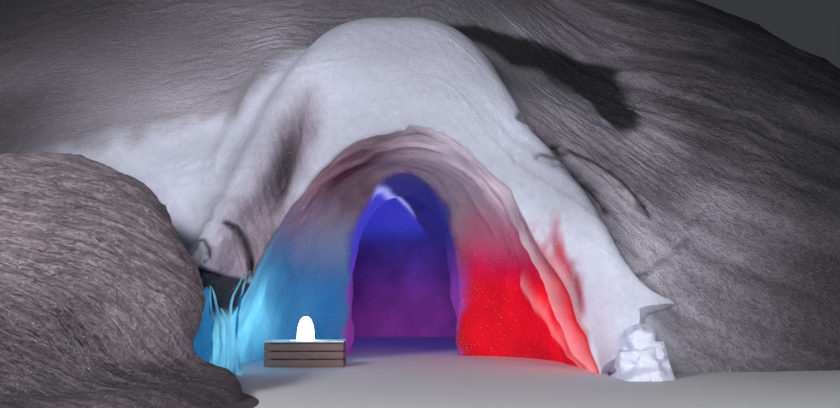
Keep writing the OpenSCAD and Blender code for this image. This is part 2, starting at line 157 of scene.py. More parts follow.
def porchArch(i, k, thick=0):  # k 0 at the mouth's edge, 1 at the doorway; thick away from the inside face
    return arch(i, f.doorShift * k, f.mouthY + f.porchLen * k, mix(f.mouthHalf, f.porchHalf, k) + thick,
                f.mouthTop + thick, f.mouthFlare * (1 - k), 1 - f.porchBend * k)


def roomArch(i, j, thick, start):
    # half turn of arches: radius r sin a, height from start up to the top, then down by sin(a)^0.6
    a = np.radians(mix(f.roomStart, 180, np.clip((j - f.doorStep) / (f.depthSteps - f.doorStep), 0, 1)))
    s, r, top = np.maximum(np.sin(a), 0), f.roomR + thick, f.roomTop + thick
    h = np.where(a > np.pi / 2, top * s ** f.roomFull, mix(start, top, s))
    return arch(i, 0, f.roomY - r * np.cos(a), r * s, h, 0, f.roomBend)


def outsideSkin(i, j):
    # mouth edge to crest: quarter turn a = 90 j/6, x, y by 1 - cos a, z by sin a; then plan steps on snowZ
    i, j = steps(i, j)
    rim = np.minimum(np.minimum(i, f.archSteps - i), 1)
    ground = np.sqrt(np.maximum(1 - (1 - rim) ** 2, 0))  # rounds off into the ground at both feet
    a = np.pi / 2 * np.clip(j / f.crestStep, 0, 1)
    ex, ey, ez = xyz(porchArch(i, 0))
    qx, qy = planPoint(f.hoodShift, f.mouthY + f.hoodBack, sideOf(i) * f.crestFoot,
                       f.mouthY + f.crestFootY, i, f.spread)
    x, y = mix(ex, qx, 1 - np.cos(a)), mix(ey, qy, 1 - np.cos(a))
    z = mix(ez, snowZ(x, y) * ground, np.sin(a))
    rx, ry = hillPlan(i, 0 * i)
    k = np.clip((j - f.crestStep) / (f.hoodStep - f.crestStep), 0, 1)
    hx, hy = hillPlan(i, np.clip((j - f.hoodStep) / (f.depthSteps - f.hoodStep), 0, 1) ** f.depthBend)
    x = np.where(j <= f.crestStep, x, np.where(j < f.hoodStep, mix(qx, rx, k), hx))
    y = np.where(j <= f.crestStep, y, np.where(j < f.hoodStep, mix(qy, ry, k), hy))
    z = np.where(j <= f.crestStep, z, snowZ(x, y) * ground)
    return vec(x, y, np.where(j >= f.depthSteps, 0, z))


def insideSkin(i, j):
    # porch arch widening inwards, rounded in to the doorway arch by 1 - sqrt(1 - u^2), then the room's arches
    i, j = steps(i, j)
    k = np.clip(j / f.porchStep, 0, 1)
    u = np.clip(1 - f.porchLen * (1 - k) / f.vaultRound, 0, 1)
    nearDoor = arch(i, f.doorShift, f.mouthY + f.porchLen * k, f.doorHalf, f.doorTop, f.doorFlare, f.doorBend)
    porch = blend(porchArch(i, k), nearDoor, f.roundFull * (1 - np.sqrt(1 - u * u)))
    d = np.clip((j - f.porchStep - 1) / f.doorSpan, 0, 1)
    door = arch(i, f.doorShift, f.mouthY + f.porchLen + f.doorIn + f.doorDeep * d, f.doorHalf,
                f.doorTop - f.doorDrop * d, f.doorFlare, f.doorBend)
    porch = blend(porch, door, np.clip(j - f.porchStep, 0, 1))
    return blend(porch, roomArch(i, j, 0, f.doorTop), np.clip(j - f.doorStep + 1, 0, 1))


def shellSkin(i, j):  # back of the hard shell, on whole steps only
    i, j = steps(i, j)
    porch = porchArch(i, np.clip(j / f.porchStep, 0, 1), f.shell * np.minimum(j / f.hoodStep, 1))
    k = np.clip((j - f.porchStep) / (f.doorStep - f.porchStep), 0, 1)
    door = arch(i, f.doorShift * (1 - k), mix(f.mouthY + f.porchLen, f.roomY - f.roomR * f.shellHug, k),
                f.porchHalf + f.shell, f.mouthTop + f.shell, 0, 1 - f.porchBend)
    jj = j[..., None]
    return np.where(jj <= f.porchStep, porch, np.where(jj < f.doorStep, door, roomArch(
        i, j, f.shell, f.mouthTop + f.shell)))


def cellValue(c, seed):  # one fixed value from -1 to 1 for each whole cell; odd factors scatter the bits
    first, second, third, last = 374761393, 668265263, 1440670441, 1274126177
    x, y, z = xyz(c)
    h = (x * first + y * second + z * third + seed * last) & 0xFFFFFFFF
    h = ((h ^ (h >> 13)) * last) & 0xFFFFFFFF
    h = ((h ^ (h >> 15)) * second) & 0xFFFFFFFF
    return ((h ^ (h >> 16)) & 0xFFFF) / 32767.5 - 1


def soft(p, size, seed=0):  # value noise: eased blend of the eight corner values of a cell
    q = p / np.asarray(size, float) + seed * 0.37
    c = np.floor(q).astype(np.int64)
    t = q - c
    t = t * t * t * (t * (6 * t - 15) + 10)
    total = 0
    for corner in range(8):
        o = np.array([corner & 1, corner >> 1 & 1, corner >> 2 & 1])
        total = total + np.prod(np.where(o, t, 1 - t), -1) * cellValue(c + o, seed)
    return total


def cloud(p, size, octaves=3, seed=0):  # octaves of soft, each half the size and strength
    return sum(0.5 ** k * soft(p, np.asarray(size, float) / 2 ** k, seed + k) for k in range(octaves))


def ridged(p, size, octaves=2, seed=0):  # 1 - |noise|: crisp crests
    return sum(0.5 ** k * (1 - 2 * np.abs(soft(p, np.asarray(size, float) / 2 ** k, seed + k)))
               for k in range(octaves))


meshForm = {"weldsPerMetre": 2e4, "keyBase": 4000037}


def makeMesh(name, points, quads, smoothAngle=50, fields=None):
    # welds corners that fall together, drops empty faces, turns all faces outwards by the signed volume
    keys = np.round(points * meshForm["weldsPerMetre"]).astype(np.int64)
    keys = (keys[:, 0] * meshForm["keyBase"] + keys[:, 1]) * meshForm["keyBase"] + keys[:, 2]
    first, index = np.unique(keys, return_index=True, return_inverse=True)[1:]
    points, quads = points[first], index[quads]
    keep = quads != np.roll(quads, -1, 1)
    keep &= ~((quads[:, :1] == quads[:, 2:3]) | (quads[:, 1:2] == quads[:, 3:4])).repeat(4, 1)
    quads, keep = quads[keep.sum(1) > 2], keep[keep.sum(1) > 2]
    a, b, c, d = (points[quads[:, k]] for k in range(4))
    if (np.cross(a, b) * c).sum() + (np.cross(a, c) * d).sum() < 0:
        quads = quads[:, ::-1]
        keep = quads != np.roll(quads, -1, 1)
    counts = keep.sum(1)
    mesh = bpy.data.meshes.new(name)
    mesh.vertices.add(len(points))
    mesh.vertices.foreach_set("co", points.astype(np.float32).ravel())
    mesh.loops.add(int(counts.sum()))
    mesh.loops.foreach_set("vertex_index", quads[keep].astype(np.int32))
    mesh.polygons.add(len(counts))
    mesh.polygons.foreach_set("loop_start", np.concatenate([[0], np.cumsum(counts)[:-1]]).astype(np.int32))
    mesh.polygons.foreach_set("use_smooth", np.ones(len(counts), bool))
    mesh.update(calc_edges=True)
    mesh.validate()
    mesh.set_sharp_from_angle(angle=math.radians(smoothAngle))
    for key, values in (fields or {}).items():
        values = np.asarray(values, np.float32)[first]
        layer = mesh.attributes.new(key, "FLOAT_COLOR", "POINT")
        layer.data.foreach_set("color", np.concatenate([values, np.ones((len(values), 1))], 1).ravel())
    piece = bpy.data.objects.new(name, mesh)
    bpy.context.collection.objects.link(piece)
    return piece


def finishPiece(piece, material, replaced):
    piece.data.materials.append(material)
    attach(piece, "root")
    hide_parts(*replaced)
    print("igloo:", piece.name, len(piece.data.vertices), "points")


def ringFaces(n, m):  # quads between n closed rings of m points
    at = np.arange(n)[:, None] * m + np.arange(m)
    nxt = np.roll(at, -1, 1)
    return np.stack([at[:-1], nxt[:-1], nxt[1:], at[1:]], -1).reshape(-1, 4)


def tube(outer, inner):
    # loops of m fine points (outer) and k coarse ones (inner, turned round), zipped shut at both ends
    n, m, k = len(outer), outer.shape[1], inner.shape[1]
    s, g = np.arange(m - 1), np.arange(k - 1)
    c = s * (k - 1) // (m - 1)
    coarse = m + k - 1 - np.arange(k)  # loop place of coarse point c
    turn = -(-(g + 1) * (m - 1) // (k - 1))
    cap = np.concatenate([vec(s, s + 1, coarse[c], coarse[c]),
                          vec(turn, coarse[g + 1], coarse[g], coarse[g])])
    faces = np.concatenate([ringFaces(n, m + k), cap[:, ::-1], cap + (n - 1) * (m + k)])
    return np.concatenate([outer, inner[:, ::-1]], 1).reshape(-1, 3), faces


def joinBars(bars, turned=()):  # bars of closed rings, flat strips of quads on their ends, as one mesh
    points, quads, count = [], [], 0
    for number, p in enumerate(bars):
        n, m = p.shape[:2]
        k = np.arange(m // 2 - 1)
        cap = vec(k, k + 1, m - 2 - k, m - 1 - k)
        faces = np.concatenate([ringFaces(n, m), cap[:, ::-1], cap + (n - 1) * m])
        quads.append((faces[:, ::-1] if number in turned else faces) + count)
        points.append(p.reshape(-1, 3))
        count += n * m
    return np.concatenate(points), np.concatenate(quads)


def normalsOf(grid):  # cross product of the two grid directions
    n = np.cross(np.gradient(grid, axis=0), np.gradient(grid, axis=1))
    return n / (np.linalg.norm(n, axis=-1, keepdims=True) + 1e-9)


def pushedSkin(skin, iSteps, jSteps, relief, outwards):
    # skin point + relief(point) along the normal; one ghost row on each side keeps seams alike
    step = jSteps[1] - jSteps[0]
    jAll = np.concatenate([[jSteps[0] - step], jSteps, [jSteps[-1] + step]])
    base = skin(iSteps[:, None], np.clip(jAll, 0, f.depthSteps)[None, :])
    return relief(base[:, 1:-1], normalsOf(base)[:, 1:-1] * outwards, *steps(iSteps[:, None], jSteps))


def smoothRows(grid, centre, reach, passes):  # rounds an edge: repeated quarter-half-quarter along the rows
    a, b = max(centre - reach, 1), min(centre + reach, grid.shape[1] - 1)
    for _ in range(passes):
        grid[:, a:b] = 0.25 * (grid[:, a - 1:b - 1] + grid[:, a + 1:b + 1]) + 0.5 * grid[:, a:b]
    return grid


windRelief = {  # heights and depths in metres, then the sizes of the noise across and along the wind
    "undulation": 0.05, "sastrugi": 0.045, "ripples": 0.014, "terraces": 0.035, "strata": 0.012,
    "scallop": 0.03, "flute": 0.24, "streaks": 0.009, "grain": 0.006, "creaseDeep": 0.12,
    "creaseWide": 0.035, "creaseStep": 0.07, "smallDeep": {"block": 0.18, "hook": 0.05},
    "smallWide": 0.026, "smallStep": 0.05, "wander": 0.03, "smallWander": 0.010, "valleyDeep": 0.05,
    "valleyWide": 0.06, "lobe": 0.10, "rim": 0.035, "nick": 0.045, "fill": 0.2, "plates": 2.2,
    "calmTop": 6.12, "calmSide": 9.82, "undulationSize": 2.2, "sastrugiSize": (0.26, 1.1, 1.0),
    "scallopSize": (0.22, 0.55, 0.6), "rippleSize": (0.09, 0.34, 0.5), "plateSize": (0.75, 0.5, 0.32),
    "strataSize": (0.11, 1.2, 1.0), "grainSize": 0.07, "hairSize": (0.045, 0.08, 0.34),
}
w = SimpleNamespace(**windRelief)
windFlow = {"slope": 0.36, "turn": 0.74, "start": 1.0, "over": 3.0, "leftSlope": -0.12, "leftRise": 1.1}
creaseLines = {  # (x, z) points: crevices on the right, slope above, valley by the fin, block on the left
    "rightUpper": ((1.15, 2.55), (1.40, 2.40), (1.66, 2.27), (2.11, 2.06), (2.35, 1.84), (2.50, 1.55)),
    "rightLower": ((1.33, 2.12), (1.55, 2.06), (1.74, 1.98), (1.92, 1.82), (2.06, 1.60)),
    "slope": ((2.04, 3.19), (2.30, 3.02), (2.59, 2.85), (2.95, 2.62)),
    "valley": ((2.86, 1.36), (2.69, 1.20), (2.38, 1.00), (2.12, 0.90)),
    "block": ((-1.72, 1.45), (-1.62, 1.40), (-1.55, 1.29), (-1.50, 1.10), (-1.49, 0.95)),
    "hook": ((-1.95, 1.28), (-1.90, 1.27), (-1.86, 1.20), (-1.83, 1.11)),
}
finForm = {"first": 21, "edge": 4, "out": 0.33, "swell": 0.8, "fadeEnd": 8, "hornOut": 0.36, "hornStep": 26,
           "hornRow": 0.55, "hornWay": (1, 0.1, -0.08)}
bulgeForm = {"out": 0.3, "footX": -1.48, "foot": 0.91, "rise": 0.3, "lip": 0.07, "fall": 0.65, "lastStep": 7}
zones = {  # places as ramps (axis, value where 0, value where 1); (axis, limit) keeps what lies below it
    "lobe": ((0, 2.0, 2.3), (1, -1.5, -2.0), (2, 1.9)),
    "scoop": ((0, -1.2, -2.2), (2, 2.6, 1.4), (1, 0.5, -1.5)),
    "fill": ((0, -0.9, -1.6), (1, -1.2, -2.0), (2, 1.3, 2.1)), "nick": ((0, -0.45, -0.15), (0, 0.06, -0.01)),
    # the top of the streaked wall, and the hollow under the block where its shadow is painted
    "streakTop": ((2, 3.2, 2.3), (1, -1.9)), "under": ((0, -2.5, -2.3), (0, -1.40, -1.48), (1, -2.9)),
    "blue": ((0, -0.2, -1.0), (2, 2.05, 0.45)), "red": ((0, 0.35, 0.95), (2, 2.0, 0.5)),
    "ceiling": ((2, 1.4, 1.9), (1, -1.0, -2.0)), "crescent": ((2, 1.45, 1.75), (0, 0.02, -0.08)),
    "domeBright": ((2, 1.5, 1.9), (0, 0.5, 0.1)), "domeLine": ((0, 0.12, -0.03), (0, -0.35, -0.25)),
    "niche": ((0, -1.2, -1.4), (0, -2.15, -1.9), (2, 0.62, 0.42), (1, -2.9)),
    "leftRim": ((2, 1.0, 0.7), (0, -0.5, -1.5)), "rightRim": ((2, 1.6, 0.9), (0, 0.6, 1.0)),
    "spill": ((2, 1.2, 0.3), (0, 1.0, 1.4)), "redFace": ((0, 1.0, 1.2), (1, -2.9)),
    # the hood and the lit scoop: partly whiter snow, partly painted light
    "hood": ((0, 2.75, 2.25), (0, -5.0, -3.0), (1, 1.0, -0.5)),
    "litScoop": ((0, -0.9, -1.5), (0, -5.0, -2.7), (1, -1.7, -2.2)),
    "hollow": ((0, 2.75, 2.55), (0, 0.25, 0.55), (1, 0.6)),
    # next rows: painted light on the skirt, fin foot and shelf right of the hood, painted shade at the
    # skirt's top
    "litSkirt": ((0, 3.3, 1.1), (0, 0.7, 1.1), (2, 1.2, 2.0), (1, -1.4)),
    "skirtHigh": ((0, 1.8, 2.1), (2, 2.0, 2.3)),
    "litFinFoot": ((0, 1.7, 2.0), (0, 3.1, 2.6), (2, 1.8, 1.5), (2, 0.75, 1.0), (1, -2.2)),
    "litShelf": ((2, 0.9, 1.3), (1, -1.4)), "block": ((2, 1.5, 1.4), (0, -1.42, -1.54)),
    # on the next line: painted highlights on the wind crests, then painted shade in the vault
    "crestHighlight": ((0, 1.8, 3.3), (2, 1.6, 2.6)), "deep": ((2, 1.1, 2.1), (1, -0.6, -1.1)),
    # on the next line: painted shade under the mouth's rim, then the bank's tip, kept lighter
    "shadeUnderRim": ((2, 2.16, 2.26), (1, -3.05, -3.3)), "bankTip": ((0, -2.15, -1.65), (2, 0.2, 0.4)),
}
profiles = {  # heights (or x), and the value at each
    "groove": ((1.5, 1.8, 2.05, 2.3, 2.65, 2.95), (0, 1, 0.95, 0.62, 0.22, 0)),
    "wallLeft": ((0.9, 1.3, 1.5, 1.65, 1.8, 2.0, 2.4, 2.65),
                 (-1.88, -1.80, -1.78, -1.70, -1.54, -1.42, -1.34, -1.22)),
    "wallRight": ((0.9, 1.5, 1.8, 2.0, 2.2, 2.4, 2.65), (-1.2, -1.08, -1.02, -0.97, -0.90, -0.84, -0.82)),
    "finEdge": ((0.0, 0.5, 0.9, 1.25, 1.6), (1.84, 1.79, 1.75, 1.69, 1.60)),
    "hollowHigh": ((0.2, 1.0, 1.9, 2.65), (4.0, 4.02, 3.92, 3.62)),
    "hollowLow": ((0.2, 1.0, 1.2, 1.6, 2.05, 2.4), (4.0, 3.5, 3.32, 3.30, 3.03, 2.5)),
}


def ramps(p, rows):  # product of the ramps and limits
    total = 1.0
    for axis, start, *full in rows:
        v = p[..., axis]
        total = total * (ramp(v, start, full[0]) if full else v < start)
    return total


def zone(p, key):
    return ramps(p, zones[key])


def lineDistance(p, line):
    # least distance in the x, z plane to a line of points, its sign (above or below) and the share along it
    q, line = p[..., [0, 2]], np.array(line)
    best, side, share = np.full(q.shape[:-1], 1e9), np.zeros(q.shape[:-1]), np.zeros(q.shape[:-1])
    for n, (a, b) in enumerate(zip(line[:-1], line[1:])):
        d = b - a
        t = np.clip(((q - a) @ d) / (d @ d), 0, 1)
        off = q - a - t[..., None] * d
        far = np.hypot(off[..., 0], off[..., 1])
        near = far < best
        best = np.where(near, far, best)
        side = np.where(near, np.sign(d[0] * off[..., 1] - d[1] * off[..., 0]), side)
        share = np.where(near, (n + t) / (len(line) - 1), share)
    return best, side, share


def bentLine(p, key):  # distance to a crevice whose line wanders a little, less at the block
    wander = w.smallWander if key in w.smallDeep else w.wander
    return lineDistance(p + wander * cloud(p, 0.12, 2, 131)[..., None], creaseLines[key])


def middle(share):  # 1 in the middle of a line, 0 at its ends
    return np.sqrt(np.clip(4 * share * (1 - share), 0, 1))


def crease(p, key, deep, wide, step):
    # a narrow cut along the line, deepest in its middle, and a ledge that fades out below it
    far, side, share = bentLine(p, key)
    ledge = np.where(side < 0, ease(far / wide) * np.exp(-far / 0.3), 0)
    return (step * ledge - deep * bump(far, wide)) * middle(share) * (0.75 + 0.4 * soft(p, 0.15, 133))


def windPlace(p):
    # across the wind: z + g(x), g' = tan of the streaks' slope, 48 degrees by the hood, 20 far right
    x, y, z = xyz(p)
    k = SimpleNamespace(**windFlow)
    t = np.clip((x - k.start) / k.over, 0, 1)
    g = k.slope * x + k.turn * (k.over * (t - t ** 3 + t ** 4 / 2) + np.minimum(x - k.start, 0))
    left = ramp(x, 0.6, -0.6)
    return vec(mix(z + g, z * k.leftRise + k.leftSlope * x, left), mix(x, x * 0.6, left), y * 0.5)


def rimPush(i, j):  # uneven rim of the mouth: in and out along the arch, fading away, a nick at the top
    e = porchArch(i, 0)
    out = e * [1, 0, 1] / np.linalg.norm(e * [1, 0, 1], axis=-1, keepdims=True)
    h = w.rim * cloud(e, 0.4, 3, 151) - w.nick * zone(e, "nick")
    return out * (h * bump(j, 0.9) * ease(e[..., 2] / 0.3))[..., None]


def finPush(i, j):
    # out * column(j) * [0.8 sin(pi k^0.8), -ease(1.3 k), 0] down the wall, drawn out to a horn at one step
    b = SimpleNamespace(**finForm)
    k = np.clip((i - b.first) / (f.archSteps - b.first), 0, 1)
    fall = np.clip((b.fadeEnd - j) / (b.fadeEnd - b.edge), 0, 1) ** 3
    column = np.where(j < b.edge, np.sin(np.pi / 2 * np.clip(j / b.edge, 0, 1)) ** 0.9, fall)
    s = i - b.hornStep
    horn = np.where(s < 0, np.exp(np.minimum(s, 0) / 0.6), np.clip(1 - s / 0.5, 0, 1) ** 2)
    horn = b.hornOut * horn * bump(j - b.edge, b.hornRow) * (i > b.first)
    push = b.out * column[..., None] * vec(b.swell * np.sin(np.pi * k ** b.swell), -ease(1.3 * k), 0)
    return push + horn[..., None] * np.array(b.hornWay)


def blockFoot(p):  # lower edge of the overhanging block, rising to the left
    return bulgeForm["foot"] + bulgeForm["rise"] * (bulgeForm["footX"] - p[..., 0]) + 0.02 * soft(p, 0.1, 135)


def bulgePush(p, i, j):  # hangs over in front: full above its foot, falling off upwards, a crisp lower lip
    b = SimpleNamespace(**bulgeForm)
    z = p[..., 2] - blockFoot(p)
    push = b.out * ramp(j, 0.9, 2.3) * ramp(j, 8, 4) * ease(z / b.lip + 1) * bump(np.maximum(z, 0), b.fall)
    return (push * ease((b.lastStep - i) / 1.5))[..., None] * np.array([0, -1, 0])


def fluteShape(p):  # upright groove left of the mouth: centre line x = -1.2 + 0.2 (z - 1.93)
    x, y, z = xyz(p)
    off = x + 1.20 - 0.2 * (z - 1.93) + 0.03 * soft(p, 0.25, 137)
    return bump(off, np.where(off < 0, 0.14, 0.10)) * np.interp(z, *profiles["groove"]) * (y < -1.5)


def streakWall(p):  # 1 on the streaked wall left of the mouth, from above the groove down to the block, where shade is painted
    x, z = p[..., 0], p[..., 2]
    left, right = (np.interp(z, *profiles[key]) for key in ("wallLeft", "wallRight"))
    off = 0.05 * cloud(p, 0.2, 2, 139)
    return ease((x - left + off) / 0.55 + 0.45) * ease((right + off - x) / 0.40 + 0.42) * zone(p, "streakTop")


def shadowUnderBlock(p):  # painted shadow in the hollow under the overhanging block, down to the lit foot
    return ease((blockFoot(p) - 0.01 - p[..., 2]) / 0.04) * zone(p, "under")


def hairs(p):  # fine upright streaks leaning a little to the right
    return ridged(p + 0.25 * p[..., 2:] * [1, 0, 0], w.hairSize, 2, 47)


def outsideRelief(p, n, i, j):
    # sum of long swells, wind lines, ripples, terraces, layers, groove, streaks and crevices, in this order
    x, y, z = xyz(p)
    wind, hood = windPlace(p), whiteAndLit(p)
    right = ramp(x, 0.9, 2.1)
    h = w.undulation * cloud(p, w.undulationSize, 2, 3) * (1 - 0.7 * hood)
    far, side, share = lineDistance(p, creaseLines["valley"])
    lobe = (side > 0) * ease(far / 0.12) * zone(p, "lobe")
    open_ = (1 - hood) * (1 - 0.75 * lobe)
    cut = ridged(wind, w.sastrugiSize, 3, 11) * ease(0.45 + cloud(p, 1.1, 2, 17))
    h += w.sastrugi * right * open_ * cut * mix(0.35, 1.0, ramp(z, 1.2, 2.0))
    h += w.lobe * lobe * np.exp(-far / 0.6) * right
    scallops = np.minimum(soft(wind, w.scallopSize, 19), 0.2) * ramp(x, 2.2, 3.4)
    h += w.scallop * right * open_ * scallops
    h += w.ripples * open_ * ridged(wind, w.rippleSize, 2, 23) * ease(0.55 + cloud(p, 1.1, 2, 29))
    plates = cloud(p * [1, 1, 1.5] + 0.3 * x[..., None] * [0, 0, 1], w.plateSize, 3, 31) * w.plates
    whole = np.floor(plates)
    h += w.terraces * zone(p, "scoop") * (whole + ease((plates - whole) * 5)) / w.plates
    h += w.strata * hood * ease(0.55 + soft(p, 0.9, 41)) * ridged(wind, w.strataSize, 1, 43)
    h += w.streaks * streakWall(p) * ramp(z, 0.95, 1.10) * hairs(p) - w.flute * fluteShape(p)
    h += w.fill * bump(hoodZ(x, y) - moundZ(x, y) + 0.35, 1.15) * zone(p, "fill")
    h += w.grain * (0.4 + 0.6 * open_) * cloud(p, w.grainSize, 2, 53)
    cuts = sum(crease(p, key, w.creaseDeep, w.creaseWide, w.creaseStep)
               for key in ("rightUpper", "rightLower", "slope"))
    h += (cuts - w.valleyDeep * bump(far, w.valleyWide) * middle(share)) * ramp(y, -0.6, -1.1)
    calm = ease((w.calmTop - z) / 0.7) * ease((w.calmSide - np.abs(x)) / 0.4)  # 0 at the summit and far feet
    moved = p + n * (h * ramp(z, 0, 0.35) * ramp(j, 0, 1.2) * calm)[..., None]
    moved = moved + finPush(i, j) * (z > 0.001)[..., None] + bulgePush(p, i, j) + rimPush(i, j)
    low = (y < -2.9) & (i < 9)
    for key, deep in w.smallDeep.items():
        moved[..., 1] -= crease(p, key, deep, w.smallWide, w.smallStep) * low * ramp(j, 0, 0.4)
    moved[..., 2] = np.where(z < 1e-6, 0, moved[..., 2])
    return np.clip(moved, *np.array(cadBox))


insideScoops = {"scoops": 0.04, "strokes": 0.022, "folds": 0.10, "foldWide": 0.17, "grain": 0.004,
                "scoopSize": (0.5, 0.4, 0.5), "strokeSize": (0.9, 0.22, 0.8), "grainSize": 0.06}
foldLines = {  # (y, z) points of the folds down the right wall, towards the mouth
    "front": ((-2.70, 1.80), (-3.00, 1.45), (-3.15, 1.18), (-3.12, 0.95), (-3.00, 0.69), (-3.00, 0.47),
              (-3.12, 0.23), (-3.2, 0.03)),
    "short": ((-1.60, 0.86), (-1.80, 0.66), (-2.30, 0.47), (-2.66, 0.27), (-2.72, 0.12), (-2.80, 0.03)),
}


def foldBump(p, key, wide):
    return bump(lineDistance(p[..., [1, 0, 2]], foldLines[key])[0], wide)


def insideRelief(p, n, i, j):
    # broad scoops + long strokes round the vault, as a shovel leaves them + folds on the right wall + grain
    x, y, z = xyz(p)
    b = SimpleNamespace(**insideScoops)
    turn = np.arctan2(z, x)
    strokes = vec(turn * 1.2, y + 0.35 * turn, np.hypot(x, z))
    h = b.scoops * cloud(p, b.scoopSize, 3, 61) + b.strokes * ridged(strokes, b.strokeSize, 2, 63)
    h += b.folds * ramp(x, 1.0, 1.3) * sum(foldBump(p, key, b.foldWide) for key in foldLines)
    h += b.grain * cloud(p, b.grainSize, 2, 67)
    moved = p + n * (h * ramp(j, 0, 0.8) * ramp(z, 0, 0.2))[..., None] + rimPush(i, j)
    moved[..., 2] = np.where(z < 1e-6, 0, np.maximum(moved[..., 2], 0))
    return moved


glowForm = {  # colours of the cast light on the snow, painted: the snow emits it
    "blue": (0.002, 0.115, 0.33), "cyan": (0.16, 0.52, 0.66), "red": (0.78, 0.001, 0.016),
    "magenta": (0.40, 0.002, 0.07), "pink": (0.24, 0.30, 0.33), "crimson": (0.34, 0.003, 0.028),
    "ceiling": (0.29, 0.26, 0.31),
    "warm": (0.085, 0.010, 0.022), "tunnel": (0.006, 0.010, 0.13), "bright": (0.035, 0.04, 0.55),
    "crescent": (0.36, 0.38, 0.82), "roomTop": (0.03, 0.03, 0.34), "roomLow": (0.20, 0.03, 0.27)}
shine = {key: np.array(value) for key, value in glowForm.items()}


def lit(masks):  # sum of mask * its colour
    return sum(mask[..., None] * shine[key] for key, mask in masks.items())


def porchGlow(p):
    # blue and cyan on the left, red and magenta with pale folds on the right, pale and warm above
    x, y, z = xyz(p)
    patch = 1 + 0.35 * cloud(p, 0.4, 3, 103)
    near = mix(0.75, 1.0, ramp(y, -1.0, -2.2))
    lower = p - (0.12 * cloud(p, 0.5, 2, 157))[..., None] * [0, 0, 1]
    red = zone(lower - 0.2 * (y + 2.5)[..., None] * [0, 0, 1], "red") * near * patch
    high = ramp(z, 0.75, 1.25) * red
    folds = foldBump(p, "front", 0.19) * ramp(z, 1.7, 1.2) + 0.55 * foldBump(p, "short", 0.09)
    ceiling = zone(p, "ceiling") * (0.8 + 0.6 * cloud(p, (0.6, 0.3, 0.4), 3, 105))
    return lit({
        "blue": zone(lower, "blue") * near * mix(1, patch, 0.3),
        "cyan": ramp(x, -0.9, -1.3) * bump(z - 0.42, 0.5) * mix(0.10, 1.3, ramp(y, -1.2, -2.3)) * patch,
        "red": red - high, "magenta": high, "pink": folds * ramp(x, 1.0, 1.2),
        "ceiling": ceiling * mix(0.05, 1.5, ramp(x, -0.45, 0.45)) * mix(0.75, 1.25, ramp(y, -2.4, -3.0)),
        "warm": bump(z - 1.75, 0.4) * ramp(y, -1.1, -2.1) * mix(0.5, 1.2, bump(x + 0.6, 0.3))})


def tunnelGlow(p):  # doorway: deep blue at its top, a pale arch across it, bright blue behind
    x, y, z = xyz(p)
    cross = y + 0.94 - 2.2 * (x + 0.38) + 0.02 * soft(p, 0.2, 109)
    tunnel = blend(shine["tunnel"], shine["bright"], ease(cross / 0.12))
    tunnel = blend(shine["roomLow"] * 0.8, tunnel, ramp(z, 0.5, 1.6))
    return tunnel + lit({"crescent": bump(cross, 0.10) * zone(p, "crescent")})


def roomGlow(p):  # room: blue above, violet below; the pale arch goes on as a bright line on its dome
    x, y, z = xyz(p)
    inner = blend(shine["roomLow"], shine["roomTop"], ramp(z, 0.3, 1.8))
    inner = inner * ((0.85 + 0.5 * cloud(p, 0.5, 3, 107)) * mix(1.0, 0.5, ramp(y, 0, 2.0)))[..., None]
    arc = z - 2.11 + 0.86 * (x + 0.04) + 0.4 * np.maximum(x + 0.04, 0)
    inner = blend(inner, shine["bright"], ease(-arc / 0.06) * zone(p, "domeBright") * (y > 1))
    return inner + lit({"crescent": bump(arc, 0.035) * zone(p, "domeLine") * (y > 1)})


def glowInside(p):
    behind = blend(tunnelGlow(p), roomGlow(p), ramp(p[..., 1], -0.45, -0.35))
    return np.maximum(blend(porchGlow(p), behind, ramp(p[..., 1], -0.99, -0.91)), 0)


def redFace(p):  # the strip of wall right of the mouth, up to the fin's sharp left edge, lit red from below
    x, z = p[..., 0], p[..., 2]
    edge = np.interp(z, *profiles["finEdge"]) + 0.03 * soft(p, 0.15, 153)
    top = 1.42 + 0.22 * cloud(p, (0.16, 0.3, 0.3), 3, 159) - 0.35 * ramp(x, 1.45, 1.85)
    return ease((edge - x) / 0.08) * ease((top - z) / 0.42) * zone(p, "redFace")


def glowOutside(p, j):  # light that reaches the rim, the niche under the block and the wall on the right
    niche = zone(p, "niche") * (j < 8)
    left = ramp(j, 1.6, 0.2) * zone(p, "leftRim") * (1 - shadowUnderBlock(p) * ramp(p[..., 2], 0.5, 0.65))
    return lit({"blue": 0.5 * niche, "cyan": 0.2 * niche + left,
                "crimson": redFace(p) * (j < 6) * (0.7 + 0.5 * cloud(p, (0.12, 0.3, 0.4), 2, 155)),
                "pink": ramp(j, 0.55, 0.1) * zone(p, "rightRim"),
                "red": 0.12 * ramp(j, 3.4, 1.0) * zone(p, "spill")})


